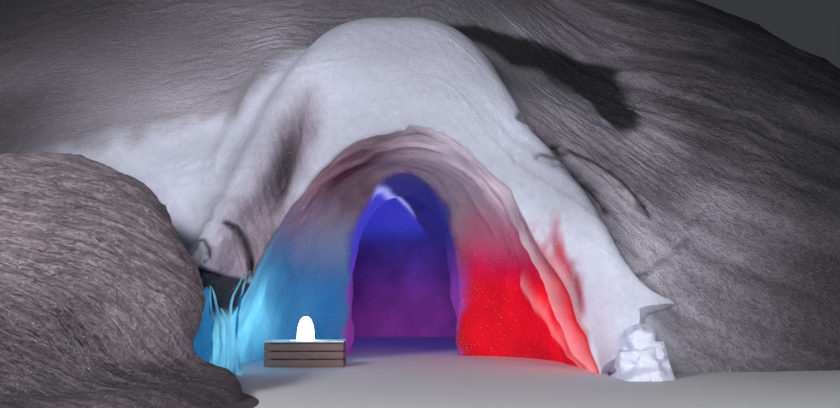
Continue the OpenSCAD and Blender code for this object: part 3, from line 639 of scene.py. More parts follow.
class Net:  # one node tree, with a short way to add each node that is used here
    def __init__(self, tree):
        self.tree = tree

    def put(self, socket, value):
        if isinstance(value, bpy.types.NodeSocket):
            self.tree.links.new(value, socket)
        else:
            socket.default_value = value

    def add(self, kind, inputs=None, **settings):
        node = self.tree.nodes.new(kind)
        for key, value in settings.items():
            setattr(node, key, value)
        for key, value in (inputs or {}).items():
            self.put(node.inputs[key], value)
        return node.outputs

    def math(self, operation, a, b=0.0, clamp=False):
        return self.add("ShaderNodeMath", {0: a, 1: b}, operation=operation, use_clamp=clamp)[0]

    def times(self, a, b):
        return self.math("MULTIPLY", a, b)

    def plus(self, a, b):
        return self.math("ADD", a, b)

    def span(self, value, low=0.0, high=1.0, atLow=0.0, atHigh=1.0):
        return self.add("ShaderNodeMapRange", {0: value, 1: low, 2: high, 3: atLow, 4: atHigh})[0]

    def scaled(self, vector, by):
        return self.add("ShaderNodeMapping", {"Vector": vector, "Scale": by})[0]

    def mixed(self, factor, a, b, blendType="MIX"):
        return self.add("ShaderNodeMix", {0: factor, 6: a, 7: b}, data_type="RGBA", blend_type=blendType)[2]

    def noise(self, vector, scale, detail, rough, distortion=0.0):
        return self.add("ShaderNodeTexNoise", {"Vector": vector, "Scale": scale, "Detail": detail,
                                               "Roughness": rough, "Distortion": distortion})[0]

    def field(self, name):
        return self.add("ShaderNodeAttribute", attribute_name=name)

    def channels(self, colour):
        return self.add("ShaderNodeSeparateColor", {0: colour})

    def group(self, key, **inputs):
        return self.add("ShaderNodeGroup", inputs, node_tree=sharedGroups[key])

    def bumped(self, height, distance, **inputs):
        return self.add("ShaderNodeBump", {"Height": height, "Distance": distance, **inputs})[0]


def newGroup(name, gives, **takes):  # a group with a vector, then number inputs, and number outputs
    group = bpy.data.node_groups.new(name, "ShaderNodeTree")
    for key, value in {"Vector": (0, 0, 0), **takes}.items():
        kind = "NodeSocketVector" if key == "Vector" else "NodeSocketFloat"
        group.interface.new_socket(key, in_out="INPUT", socket_type=kind).default_value = value
    for key in gives:
        group.interface.new_socket(key, in_out="OUTPUT", socket_type="NodeSocketFloat")
    return Net(group), group.nodes.new("NodeGroupInput").outputs, group.nodes.new("NodeGroupOutput").inputs


def grainGroup():  # packed grains: broad lumps, fine crumbs and pits
    net, takes, gives = newGroup("snowGrain", ("Height", "Tone"), Scale=10.0, Pits=0.4)
    place, scale = takes["Vector"], takes["Scale"]
    broad, fine = net.noise(place, scale, 6.0, 0.62), net.noise(place, net.times(scale, 9.0), 3.0, 0.6)
    pits = net.add("ShaderNodeTexVoronoi", {"Vector": place, "Scale": net.times(scale, 4.0)})[0]
    height = net.plus(net.times(broad, 0.6), net.times(fine, 0.3))
    net.put(gives["Height"], net.plus(height, net.times(pits, takes["Pits"])))
    net.put(gives["Tone"], net.plus(net.times(broad, 0.65), net.times(fine, 0.35)))
    return net.tree


def rippleGroup():  # wind lines: 1 - 4 |noise - 1/2|, the noise drawn out along the wind
    net, takes, gives = newGroup("windRipple", ("Height",), Scale=6.0, Bend=0.4)
    lines = net.noise(takes["Vector"], takes["Scale"], 3.0, 0.5, takes["Bend"])
    crest = net.math("ABSOLUTE", net.math("SUBTRACT", lines, 0.5))
    net.put(gives["Height"], net.math("SUBTRACT", 1.0, net.times(crest, 4.0), True))
    return net.tree


def frostGroup():  # single crystals in some of many tiny cells: the mask where glints are painted
    net, takes, gives = newGroup("frostSparkle", ("Mask",), Scale=160.0, Share=0.04)
    cells = net.add("ShaderNodeTexVoronoi", {"Vector": takes["Vector"], "Scale": takes["Scale"]})
    net.put(gives["Mask"], net.math("LESS_THAN", net.channels(cells["Color"])[0], takes["Share"]))
    return net.tree


sharedGroups = {"grain": grainGroup(), "ripple": rippleGroup(), "frost": frostGroup()}


def newMaterial(name):  # material, its net, the shader's inputs and the object's own coordinates
    material = bpy.data.materials.new(name)
    material.use_nodes = True
    net = Net(material.node_tree)
    inputs = net.tree.nodes["Principled BSDF"].inputs
    return material, net, inputs, net.add("ShaderNodeTexCoord")["Object"]


snowLooks = {  # tones that multiply the tint, grain per metre, stretch of the wind lines, bumps in metres
    "windSnow": {"span": (0.35, 0.8), "light": (1.0, 1.0, 1.0, 1), "dark": (0.72, 0.71, 0.73, 1),
        "grain": 15.0, "pits": 0.45, "wind": (7.5, 4.0, 3.5), "grainBump": 0.032, "windBump": 0.007,
        "sheen": 0.2, "frost": 0.007},
    "bankSnow": {"span": (0.45, 0.72), "light": (1.12, 1.1, 1.1, 1), "dark": (0.42, 0.40, 0.42, 1),
        "grain": 34.0, "pits": 0.6, "wind": (8.0, 1.1, 1.0), "grainBump": 0.055, "windBump": 0.028,
        "sheen": 0.3, "frost": 0.006},
    "shellSnow": {"span": (0.35, 0.8), "light": (1.0, 1.0, 1.0, 1), "dark": (0.72, 0.71, 0.73, 1),
        "grain": 9.0, "pits": 0.35, "wind": (6.0, 2.2, 2.2), "grainBump": 0.026, "windBump": 0.007,
        "sheen": 0.2, "frost": 0.007},
}


def snowMaterial(name):
    # colour: tint * tone of the grains, painted highlights on the wind lines, painted white glints on
    # crystals;
    # bump: grains, then wind lines; emission: the glow field, painted light that the snow gives off
    look = SimpleNamespace(**snowLooks[name])
    material, net, shader, place = newMaterial(name)
    grain = net.group("grain", Vector=place, Scale=look.grain, Pits=look.pits)
    flow = net.scaled(net.field("flow")["Vector"], look.wind)
    lines = net.group("ripple", Vector=flow, Scale=2.2)["Height"]
    frost = net.group("frost", Vector=place, Scale=150.0, Share=look.frost)["Mask"]
    tone = net.plus(net.times(grain["Tone"], 0.7), net.times(net.noise(place, 0.7, 5.0, 0.6), 0.5))
    tone = net.span(tone, *look.span)
    colour = net.mixed(tone, look.dark, look.light)
    colour = net.mixed(1.0, colour, net.field("tint")["Color"], "MULTIPLY")
    grit = net.channels(net.field("grit")["Color"])
    # painted highlight: lighter on the crests of the wind lines, as strong as the field's third channel
    colour = net.mixed(net.times(net.span(lines, 0.6, 1.0), grit[2]), colour, (1.9, 1.9, 1.9, 1), "MULTIPLY")
    # painted glint: single crystals turned white in the colour, and smoother too
    net.put(shader["Base Color"], net.mixed(net.times(frost, 0.35), colour, (1, 1, 1, 1)))
    net.put(shader["Specular IOR Level"], look.sheen)
    rough = net.span(grain["Tone"], atLow=0.85, atHigh=0.6)
    net.put(shader["Roughness"], net.math("SUBTRACT", rough, net.times(frost, 0.35)))
    grains = net.bumped(net.times(grain["Height"], grit[0]), look.grainBump)
    net.put(shader["Normal"], net.bumped(net.times(lines, grit[1]), look.windBump, Normal=grains))
    # painted light: the snow gives off the glow field, dimmed a little on light grains
    glow = net.mixed(net.times(tone, 0.35), net.field("glow")["Color"], (0, 0, 0, 1))
    net.put(shader["Emission Color"], glow)
    net.put(shader["Emission Strength"], 1.0)
    return material


finishes = {name: snowMaterial(name) for name in snowLooks}
print("igloo: materials ready")

snowColours = {  # hood and lit scoop (partly painted light), slopes near and far (painted falloff of the light), bank, vault, vault in painted shade
    "white": (0.64, 0.66, 0.81), "near": (0.35, 0.33, 0.385), "far": (0.165, 0.155, 0.175),
    # on the next line: the bank's own tone, then painted shade on the streaked wall and in its groove
    "bank": (0.39, 0.335, 0.375), "streakyShade": (0.235, 0.185, 0.235), "groove": (0.075, 0.057, 0.075),
    # on the next line: painted light on the skirt and ledge right of the hood, then the vault's own colour
    "litSkirt": (0.36, 0.32, 0.38), "ledge": (0.52, 0.49, 0.58), "vault": (0.62, 0.53, 0.61),
    # on the next line: painted shade in the vault, painted dim light in the room, painted blue light at the
    # foot under the block
    "vaultShade": (0.085, 0.032, 0.048), "room": (0.10, 0.08, 0.22), "blueLitFoot": (0.03, 0.10, 0.14),
    # on the next line: painted shadow under the block, painted red light right of the mouth, the curtain's
    # ice in painted blue light
    "blockShadow": (0.035, 0.042, 0.055), "redFace": (0.22, 0.012, 0.03), "blueLitIce": (0.004, 0.05, 0.12),
    # on the next line: painted highlight on the curtain's strands
    "iceHighlight": (0.30, 0.60, 0.80),
}
colour = {key: np.array(value) for key, value in snowColours.items()}
shadeSpots = (  # lit and shaded places on the open slopes and the hood: x, z, half widths, factor
    (1.35, 2.72, 0.40, 0.35, 1.9), (2.45, 1.12, 0.32, 0.28, 1.4), (3.42, 2.65, 0.45, 0.60, 0.5),
    (4.10, 0.80, 0.80, 0.35, 0.54), (2.72, 1.72, 0.28, 0.50, 0.6), (3.28, 1.75, 0.30, 0.30, 1.4),
    (-1.45, 3.65, 0.50, 0.55, 1.5), (-2.50, 2.80, 0.70, 0.25, 1.3), (1.45, 4.05, 0.50, 0.35, 1.9),
    (0.05, 3.62, 0.80, 0.30, 1.35), (1.82, 1.85, 0.50, 0.42, 0.66),
)
shadeRamps = (  # share of the light taken off, and the place's ramps as in zones
    (0.5, ((2, 2.8, 4.1), (0, -1.8, -4.0))), (0.5, ((2, 2.5, 3.2), (0, 2.4, 3.3))), (0.58, ((0, 3.0, 4.5),)),
    (0.5, ((0, -3.3, -4.5), (2, 3.4, 2.8))), (0.3, ((2, 0.75, 0.35), (0, 2.5, 3.1))),
)
creaseShades = {"rightUpper": 0.036, "rightLower": 0.036, "block": 0.030, "hook": 0.018}  # half widths


def whiteAndLit(p):  # 1 on the hood, the cheeks and the lit scoop on the left, 0 on the open slopes; partly whiter snow, partly painted light
    x, y, z = xyz(p)
    hood = ease((hoodZ(x, y) - moundZ(x, y) + 0.55) / 0.8) * zone(p, "hood")
    ridge = 2.66 + 0.14 * (x + 2.2) + 0.10 * soft(p, 0.8, 91) + 0.06 * cloud(p, 0.2, 2, 93)
    return 1 - (1 - hood) * (1 - zone(p, "litScoop") * ease((ridge - z) / 0.34))


def spotShade(p):  # product of factor^bump over the spots, on the front only
    x, y, z = xyz(p)
    total = 1.0
    for atX, atZ, wide, high, factor in shadeSpots:
        total = total * factor ** bump(np.hypot((x - atX) / wide, (z - atZ) / high), 1)
    return mix(1, total, ramp(y, 1.5, 0))


def hollowShade(p):  # painted shadow of the hood on the hollow blown out right of it
    q = p + 0.06 * vec(soft(p, 0.3, 141), 0, soft(p, 0.3, 143))
    high, low = (np.interp(q[..., 0], *profiles[key]) for key in ("hollowHigh", "hollowLow"))
    return ease((high - q[..., 2]) / 0.12) * ease((q[..., 2] - low) / 0.16) * zone(q, "hollow")


def creaseShade(p):  # painted shade along the crevices
    shades = [bump(bentLine(p, key)[0], wide) for key, wide in creaseShades.items()]
    return np.max(shades, 0) * ramp(p[..., 1], -0.6, -1.1)


def slopeShade(p, litSkirt):  # product of all that darkens or lights the snow; the far side is plain
    x, y, z = xyz(p)
    dark = (1 - 0.88 * hollowShade(p)) * (1 - 0.75 * creaseShade(p)) * spotShade(p)
    for share, rows in shadeRamps:
        dark = dark * (1 - share * ramps(p, rows))
    dark = dark * (1 - 0.5 * bump(z - 2.35 + 0.15 * (x - 3.5), 0.42) * ramp(x, 2.7, 3.3))
    dark = dark * (1 + 0.55 * bump(np.hypot((x + 1.9) / 1.3, (z - 2.95) / 0.45), 1))
    dark = dark * (1 - 0.35 * litSkirt * zone(p, "skirtHigh"))
    return mix(1, dark, ramp(y, 4.5, 2.5))


def fieldsOutside(p):
    # tint: white on the hood and lit scoop, else slope colour from near to far, a painted falloff of the
    # light, then painted light and shade; second field: strength of grain, of lines, and of the painted
    # highlight on the lines
    x, y, z = xyz(p)
    wind, white = windPlace(p), whiteAndLit(p)
    open_ = 1 - white
    # painted falloff of the light: the slopes darken with distance from the mouth
    away = ease((np.sqrt(x ** 2 + (y + 2.5) ** 2 + (z - 1.5) ** 2) - 1.8) / 6.0)
    tint = blend(blend(colour["near"], colour["far"], away), colour["white"], white)
    # painted light on the skirt right of the hood and at the fin's foot
    litSkirt = ease((2.85 - z - 0.12 * (x - 1)) / 0.2) * zone(p, "litSkirt")
    tint = blend(tint, colour["litSkirt"], litSkirt * open_)
    tint = blend(tint, colour["ledge"], 0.8 * zone(p, "litFinFoot") * open_)
    tint = tint * (1 - 0.3 * ramp(z, 1.3, 2.2) * bump(x, 2.0))[..., None]
    # painted light on the shelf below the upper crevice
    far, side, share = lineDistance(p, creaseLines["rightUpper"])
    ledge = ramp(far, 0.42, 0.22) * (side < 0) * ramp(share, 0.25, 0.45) * zone(p, "litShelf")
    tint = blend(tint, colour["ledge"], 0.85 * ledge * open_)
    # painted shade on the streaked wall left of the mouth, lighter on the block, with bright hairs
    wallShade, hair = streakWall(p), ramp(hairs(p), 0.2, 1.0)
    streakyShade = colour["streakyShade"] * ((0.86 + 0.4 * hair) * (1 + 0.35 * zone(p, "block")))[..., None]
    tint = blend(tint, streakyShade, 0.93 * wallShade)
    # painted shade in the groove, with bright hairs
    tint = blend(tint, colour["groove"] * (0.8 + 0.8 * hair)[..., None], fluteShape(p))
    # painted shadow under the block, bluish at its foot where blue light reaches
    under = blend(colour["blueLitFoot"], colour["blockShadow"], ramp(z, 0.45, 0.65))
    tint = blend(tint, under, 0.95 * shadowUnderBlock(p)) * slopeShade(p, litSkirt)[..., None]
    # lighter and darker streaks along the wind on the right, and painted highlights on the crests
    streak = cloud(wind, (0.17, 0.9, 1.2), 3, 99) * ramp(x, 1.2, 2.4) * open_
    crestHighlight = ramp(ridged(wind, (0.16, 2.2, 1.0), 1, 99), 0.72, 0.92) * zone(p, "crestHighlight")
    tint = tint * (1 + 0.10 * cloud(p, (1.3, 1.3, 0.6), 3, 97) + 0.34 * streak + 0.6 * crestHighlight)[..., None]
    # painted red light on the strip right of the mouth
    tint = blend(tint, colour["redFace"], 0.92 * redFace(p))
    right = ramp(x, 1.5, 3.0)
    # third channel: painted highlight on the wind lines of the right slopes
    grit = vec(mix(1.0, 0.25, white) + 0.4 * wallShade, mix(1 + 0.6 * right, 0.25, white), 0.42 * right * open_)
    return {"tint": np.clip(tint, 0, 1), "grit": grit, "flow": wind}


def fieldsInside(p):
    # vault snow with painted shade at the top left, darker towards the back in the room's painted dim light,
    # and painted coloured light where the lamps' light falls
    x, y, z = xyz(p)
    patch = (0.75 + 0.5 * cloud(p, 0.5, 3, 101)).clip(0, 1)
    deep = zone(p, "deep") * mix(1.0, 0.25, ramp(x, -0.5, 0.4)) * patch
    # painted shade at the vault's top left
    tint = blend(colour["vault"], colour["vaultShade"], deep)
    # the room behind the doorway in painted dim blue-violet light
    tint = blend(tint, colour["room"], ramp(y, -1.02, -0.92))
    # painted shade just under the mouth's rim
    tint = tint * (1 - 0.6 * zone(p, "shadeUnderRim") * bump(x + 0.2, 0.3))[..., None]
    glow = glowInside(p)
    most = glow.max(-1, keepdims=True)
    # painted coloured light: the tint takes the glow's hue where the glow is strong, fading out from 1 m up
    # to 2.2 m
    strength = (1 - np.exp(-11.0 * (most - glow.min(-1, keepdims=True)))) * ramp(z, 2.2, 1.0)[..., None]
    tint = mix(tint, glow / np.maximum(most, 1e-6) * 0.3, strength)
    return {"tint": np.clip(tint, 0, 1), "grit": np.ones(p.shape) * [0.8, 0.8, 0], "glow": glow, "flow": p}


def fieldsBank(p, flow):  # one tint, with painted shade towards the foot, less near the tip
    z = p[..., 2]
    low = 0.42 + 0.58 * ease((z - 0.25) / 1.1 + zone(p, "bankTip"))
    low = low * (0.8 + 0.2 * ramp(z, 0.5, 1.3)) * (1 + 0.10 * cloud(p, (1.3, 1.3, 0.6), 3, 97))
    tint = np.clip(colour["bank"] * low[..., None], 0, 1)
    return {"tint": tint, "grit": np.ones(p.shape) * [1, 1, 0.75], "flow": flow}


def joinFields(outer, inner):  # fields over the fine rows, then over the back rows turned round, as in tube
    both = {}
    for key in ("tint", "grit", "glow", "flow"):
        parts = [g.get(key, np.zeros(g["tint"].shape)) for g in (outer, inner)]
        both[key] = np.concatenate([parts[0], parts[1][:, ::-1]], 1).reshape(-1, 3)
    return both


pieceGrids = {  # arch steps and depth steps of each piece's fine grid
    "hood": (448, 160, 56), "front": (440, 192), "flanks": (360, 150), "back": (300, 140),
    "vault": (224, 44, 16, 24, 20), "room": (150, 96),
}
pieceEdges = {"hood": (4, 8), "vault": ((6, 14), (3, 6), (3, 6))}  # reach and passes of each edge's smoothing
vaultBend = 1.7  # rows draw closer together towards the doorway


def archGrid(n):
    return np.linspace(0, f.archSteps, n + 1)


def makeHood():
    n, m, k = pieceGrids["hood"]
    i, j = archGrid(n), np.linspace(0, f.hoodStep, m + 1)
    outer = pushedSkin(outsideSkin, i, j, outsideRelief, 1)
    inner = pushedSkin(insideSkin, i, np.linspace(0, f.hoodStep, k + 1), insideRelief, -1)
    both = smoothRows(np.concatenate([inner[:, :0:-1], outer], 1), k, *pieceEdges["hood"])
    inner, outer = both[:, k::-1], both[:, k:]
    out = dict(fieldsOutside(outer), glow=glowOutside(outer, steps(i[:, None], j)[1]))
    piece = makeMesh("hoodSnow", *tube(outer, inner), 50, joinFields(out, fieldsInside(inner)))
    finishPiece(piece, finishes["windSnow"], (
        "hood_left_cheek", "hood_left_shoulder", "hood_crown", "hood_right_shoulder", "hood_right_cheek",
        "right_fin", "right_horn", "left_bulge"))


def makeMoundPart(name, key, j0, j1, replaced):
    n, m = pieceGrids[key]
    i = archGrid(n)
    outer = pushedSkin(outsideSkin, i, np.linspace(j0, j1, m + 1), outsideRelief, 1)
    inner = shellSkin(i[:, None], np.arange(j0, j1 + 1)[None, :])
    fields = joinFields(fieldsOutside(outer), fieldsOutside(inner))
    finishPiece(makeMesh(name, *tube(outer, inner), 50, fields), finishes["windSnow"], replaced)


def makeVaultPart(name, inner, j0, j1, replaced):
    back = shellSkin(archGrid(len(inner) - 1)[:, None], np.arange(j0, j1 + 1)[None, :])
    fields = joinFields(fieldsInside(inner), fieldsInside(back))
    finishPiece(makeMesh(name, *tube(inner, back), 50, fields), finishes["shellSnow"], replaced)


def makeVault():
    n, a, b, c, d = pieceGrids["vault"]
    start, end = f.porchStep, f.doorStep
    j = np.concatenate([
        start - (start - f.hoodStep) * np.linspace(1, 0, a, endpoint=False) ** vaultBend,
        np.linspace(start, start + 1, b, endpoint=False),
        np.linspace(start + 1, end - 1, c, endpoint=False), np.linspace(end - 1, end, d + 1)])
    vault = pushedSkin(insideSkin, archGrid(n), j, insideRelief, -1)
    for edge, (reach, passes) in zip((a, a + b, a + b + c), pieceEdges["vault"]):
        vault = smoothRows(vault, edge, reach, passes)
    makeVaultPart("porchVault", vault[:, :a + 1], f.hoodStep, start, (
        "porch_left_wall", "porch_left_haunch", "porch_crown", "porch_right_haunch", "porch_right_wall"))
    makeVaultPart("doorwaySnow", vault[:, a:], start, end, ("door_left_jamb", "door_head", "door_right_jamb"))


def makeRoom():
    n, m = pieceGrids["room"]
    start, end = f.doorStep, f.depthSteps
    dome = pushedSkin(insideSkin, archGrid(n), np.linspace(start, end, m + 1), insideRelief, -1)
    makeVaultPart("roomDome", dome, start, end, (
        "room_left_wall", "room_left_haunch", "room_crown", "room_right_haunch", "room_right_wall",
        "room_back"))


makeHood()
makeMoundPart("moundFront", "front", 8, 16, (
    "mound_front_left_foot", "mound_front_left_slope", "mound_front_ridge", "mound_front_right_slope",
    "mound_front_right_foot"))
makeMoundPart("moundFlanks", "flanks", 16, 26, (
    "mound_left_flank", "mound_left_shoulder", "mound_summit", "mound_right_shoulder", "mound_right_flank"))
makeMoundPart("moundBack", "back", 26, 40, ("mound_back_left", "mound_back_middle", "mound_back_right"))
makeVault()
makeRoom()

bankForm = {"turn": (20, -200), "x": -5.0, "y": -5.2, "half": 3.75, "deep": 2.5, "shear": 0.55, "top": 2.15,
            "toe": 0.93, "lip": 0.15, "seat": 3, "rows": 12, "first": 8, "last": 20, "grid": (264, 180),
            "ripple": 0.034, "rippleSize": (0.17, 1.6, 1), "fineSize": (0.055, 0.45, 1), "lump": 0.05,
            "lumpSize": 0.9, "grain": 0.008, "grainSize": 0.05, "undercut": 0.3,
            "across": (0.30, 0.45, 0.84), "along": (0.86, -0.42, -0.28)}


def bankGrid(r, j, over):
    # rows from the outer foot f(j) over the ground to the mound's foot, then 3 steps up the mound;
    # over: height top (1 - (k/toe)^2.2)^0.9 (1 - (2e-1)^4), k = 1 - r/12, e = along
    b = SimpleNamespace(**bankForm)
    e = (j - b.first) / (b.last - b.first)
    a = np.radians(mix(b.turn[0], b.turn[1], e))
    foot = vec(b.x + b.half * np.cos(a) - b.shear * b.deep * np.sin(a), b.y + b.deep * np.sin(a), 0)
    seat = b.rows - b.seat
    low = np.where((r > seat)[..., None], outsideSkin(np.maximum(r - seat, 0), j),
                   blend(outsideSkin(0, j), foot, np.clip(1 - r / seat, 0, 1)))
    if not over:
        return low
    k = 1 - r / b.rows
    end = np.maximum(1 - (2 * e - 1) ** 4, 0)
    z = b.top * np.maximum(1 - (k / b.toe) ** 2.2, 0) ** 0.9 * end + b.lip * (1 - k) * end ** 0.3
    top = outsideSkin(b.seat, j)
    high = vec(mix(top[..., 0], foot[..., 0], k), mix(top[..., 1], foot[..., 1], k),
               mix(top[..., 2], z, ease(k * 2.5)))
    return blend(low, high, ease(j - b.first) * ease(b.last - j))


def makeBank():
    # wind lines in two sizes along the bank + lumps + grain - an undercut below the nose
    b = SimpleNamespace(**bankForm)
    n, m = b.grid
    j = np.linspace(b.first, b.last, n + 1)
    jj, rr = np.meshgrid(j, np.linspace(0, b.rows, m + 1), indexing="ij")
    top = bankGrid(rr, jj, True)
    normal = normalsOf(top)
    normal *= np.sign(normal[n // 2, m // 2, 2])
    z = top[..., 2]
    lines = vec(top @ np.array(b.across) + 0.06 * soft(top, 0.9, 75), top @ np.array(b.along), 0)
    h = b.ripple * ridged(lines, b.rippleSize, 3, 71) * ease(0.7 + cloud(top, 1.0, 2, 73))
    h += 0.6 * b.ripple * ridged(lines, b.fineSize, 2, 77)
    h += b.lump * cloud(top, b.lumpSize, 2, 79) + b.grain * cloud(top, b.grainSize, 2, 83)
    h -= b.undercut * bump(z - 0.42, 0.26) * ramp(top[..., 0], -3.2, -2.6)
    rim = ease(rr) * ease(b.rows - rr) * ease(jj - b.first) * ease(b.last - jj) * ramp(z, 0, 0.3)
    top = top + normal * (h * rim)[..., None]
    top[..., 2] = np.maximum(top[..., 2], 0)
    low = bankGrid(*np.meshgrid(np.arange(b.rows + 1.0), j), False)
    fields = joinFields(fieldsBank(top, lines), fieldsBank(low, windPlace(low)))
    piece = makeMesh("driftBank", *tube(top, low), 50, fields)
    finishPiece(piece, finishes["bankSnow"], ("bank_nose", "bank_crest", "bank_tail"))


makeBank()

lumpForm = {"grid": (160, 110), "square": 0.85, "wide": (0.80, 0.86, 0), "top": 0.47, "chunks": 0.047,
            "chunkSize": 0.26, "crumbs": 0.006, "crumbSize": 0.05, "split": 0.33, "splitTilt": 0.25,
            "splitWide": 0.03, "splitDeep": 0.05, "apron": 0.10, "apronHigh": 0.06, "grit": 0.5}


def makeLump():
    # rounded block: centre + half size * sign(c)|c|^0.85 over polar angles, a low apron, a split near its top
    b = SimpleNamespace(**lumpForm)
    low, high = (np.array(v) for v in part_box("snow_lump"))
    turn, fall = np.linspace(0, 2 * np.pi, b.grid[0] + 1)[:, None], np.linspace(0, np.pi, b.grid[1] + 1)
    way = vec(np.cos(turn) * np.sin(fall), np.sin(turn) * np.sin(fall), np.cos(fall))
    half = (high - low) / 2 * np.array(b.wide) + np.array([0, 0, b.top])
    p = (low + high) / 2 * np.array([1, 1, 0]) + np.sign(way) * np.abs(way) ** b.square * half
    x, z = p[..., 0], p[..., 2]
    rough = b.chunks * (ridged(p * [1, 1, 1.6], b.chunkSize, 2, 111) - 0.5)
    rough = rough + b.crumbs * cloud(p, b.crumbSize, 2, 113)
    rough = rough - b.splitDeep * bump(z - b.split - b.splitTilt * (x - x.mean()), b.splitWide)
    p = p + way * (rough + b.apron * np.exp(-np.maximum(z, 0) / b.apronHigh))[..., None]
    p = np.clip(p, low * [1, 1, 0], high)
    p[-1] = p[0]
    at = np.arange(p.shape[0])[:, None] * p.shape[1] + np.arange(p.shape[1])
    quads = np.stack([at[:-1, :-1], at[1:, :-1], at[1:, 1:], at[:-1, 1:]], -1).reshape(-1, 4)
    flat = p.reshape(-1, 3)
    same = np.ones(flat.shape)
    piece = makeMesh("snowLump", flat, quads, 35, {"tint": same * colour["white"], "grit": same * b.grit,
                                                 "glow": 0 * same})
    finishPiece(piece, finishes["windSnow"], ("snow_lump",))


makeLump()

curtainForm = {  # strands: (share along, share up) points, half width in metres
    "x": -1.49, "y": -3.503, "turn": 38, "length": 0.9, "height": 0.86, "thick": 0.026, "rough": 0.004,
    # the next keys: painted highlights, a line at one place round two strands, faint round the others, pale
    # all round the first thin strands
    "rings": 48, "round": 16, "smoothing": 6, "paleStrands": 5, "veined": (6, 8), "veinAt": 12,
    "veinWide": 1.4, "veinPale": 0.7, "otherPale": 0.04,
    "strands": (
        (((0.13, 0), (0.165, 0.25), (0.175, 0.5), (0.14, 0.8), (0.09, 1.0), (0.02, 1.15)), 0.011),
        (((0.21, 0), (0.235, 0.3), (0.255, 0.55), (0.24, 0.8), (0.18, 0.95), (0.09, 1.12)), 0.009),
        (((0.28, 0), (0.275, 0.3), (0.28, 0.55), (0.32, 0.68), (0.36, 0.74)), 0.010),
        (((0.36, 0), (0.35, 0.2), (0.345, 0.4), (0.37, 0.6), (0.41, 0.78), (0.465, 0.97)), 0.013),
        (((0.42, 0), (0.455, 0.2), (0.47, 0.4), (0.45, 0.6), (0.475, 0.8), (0.485, 0.99)), 0.012),
        (((0.53, 0), (0.53, 0.3), (0.52, 0.6), (0.53, 0.85), (0.52, 0.97)), 0.046),
        (((0.62, 0), (0.61, 0.3), (0.60, 0.6), (0.60, 0.88)), 0.052),
        (((0.72, 0), (0.70, 0.3), (0.69, 0.55), (0.68, 0.79)), 0.053),
        (((0.82, 0), (0.80, 0.25), (0.785, 0.45), (0.775, 0.67)), 0.052),
        (((0.90, 0), (0.89, 0.2), (0.88, 0.35), (0.87, 0.53)), 0.045),
        (((0.965, 0), (0.96, 0.15), (0.955, 0.28), (0.95, 0.42)), 0.03),
    ),
}


def strandGrid(path, wide, seed):
    # path smoothed by quarter-half-quarter steps; ellipse (wide cos a, thick sin a) across, thin at the top
    c = SimpleNamespace(**curtainForm)
    path = np.array(path)
    t = np.linspace(0, len(path) - 1, c.rings)
    line = vec(*(np.interp(t, np.arange(len(path)), path[:, k]) for k in (0, 1)))
    for _ in range(c.smoothing):
        line[1:-1] = 0.25 * (line[:-2] + line[2:]) + 0.5 * line[1:-1]
    a = np.linspace(0, 2 * np.pi, c.round + 1)[:-1]
    s = t / t[-1]
    thin = (1 - 0.45 * s ** 2) * (1 + 0.35 * bump(s, 0.12)) * (1 + 0.12 * np.sin(9 * s + seed))
    thin = (thin * np.sqrt(np.clip(1.02 - s, 0, 1) / 0.1).clip(0, 1))[:, None]
    u = line[:, :1] * c.length + wide * thin * np.cos(a)
    v = c.thick * thin * np.sin(a) + c.thick
    cos, sin = math.cos(math.radians(c.turn)), math.sin(math.radians(c.turn))
    p = vec(c.x - u * cos + v * sin, c.y - u * sin - v * cos, line[:, 1:] * c.height)
    return p + c.rough * cloud(p, 0.05, 2, 120 + seed)[..., None] * np.array([1, 1, 0])


def makeCurtain():
    # thin strands on one side painted pale all round, a bright blue sheet of wide ones at the rim, painted
    # highlight lines down two of them
    c = SimpleNamespace(**curtainForm)
    points, quads = joinBars([strandGrid(path, wide, seed) for seed, (path, wide) in enumerate(c.strands)])
    # painted highlight: a pale line at one place round two strands, faint on the others, pale all round the
    # first thin strands
    around = bump((np.arange(c.round) - c.veinAt + c.round / 2) % c.round - c.round / 2, c.veinWide)
    highlights = [np.tile(around * (c.veinPale if seed in c.veined else c.otherPale)
                     + c.veinPale * (seed < c.paleStrands), c.rings) for seed in range(len(c.strands))]
    highlight = np.concatenate(highlights) * ease(0.7 + cloud(points, (0.1, 0.1, 0.2), 2, 129))
    near = ramp(points[:, 0], -2.3, -1.6) * (0.6 + 0.5 * cloud(points, 0.15, 2, 133))
    glow = blend(shine["blue"] * 0.8, shine["blue"] * 1.1 + shine["cyan"] * 0.2, near)
    glow = blend(glow, shine["cyan"] * 0.9, 0.8 * highlight) * ramp(points[:, 2:], 1.0, 0.7)
    # tint: the ice in painted blue light, pale where highlights are painted
    piece = makeMesh("iceCurtain", points, quads, 60, {
        "tint": blend(colour["blueLitIce"], colour["iceHighlight"], highlight), "grit": np.ones(points.shape) * [0.4, 0.4, 0],
        "glow": glow})
    finishPiece(piece, finishes["shellSnow"], ("left_curtain",))


makeCurtain()


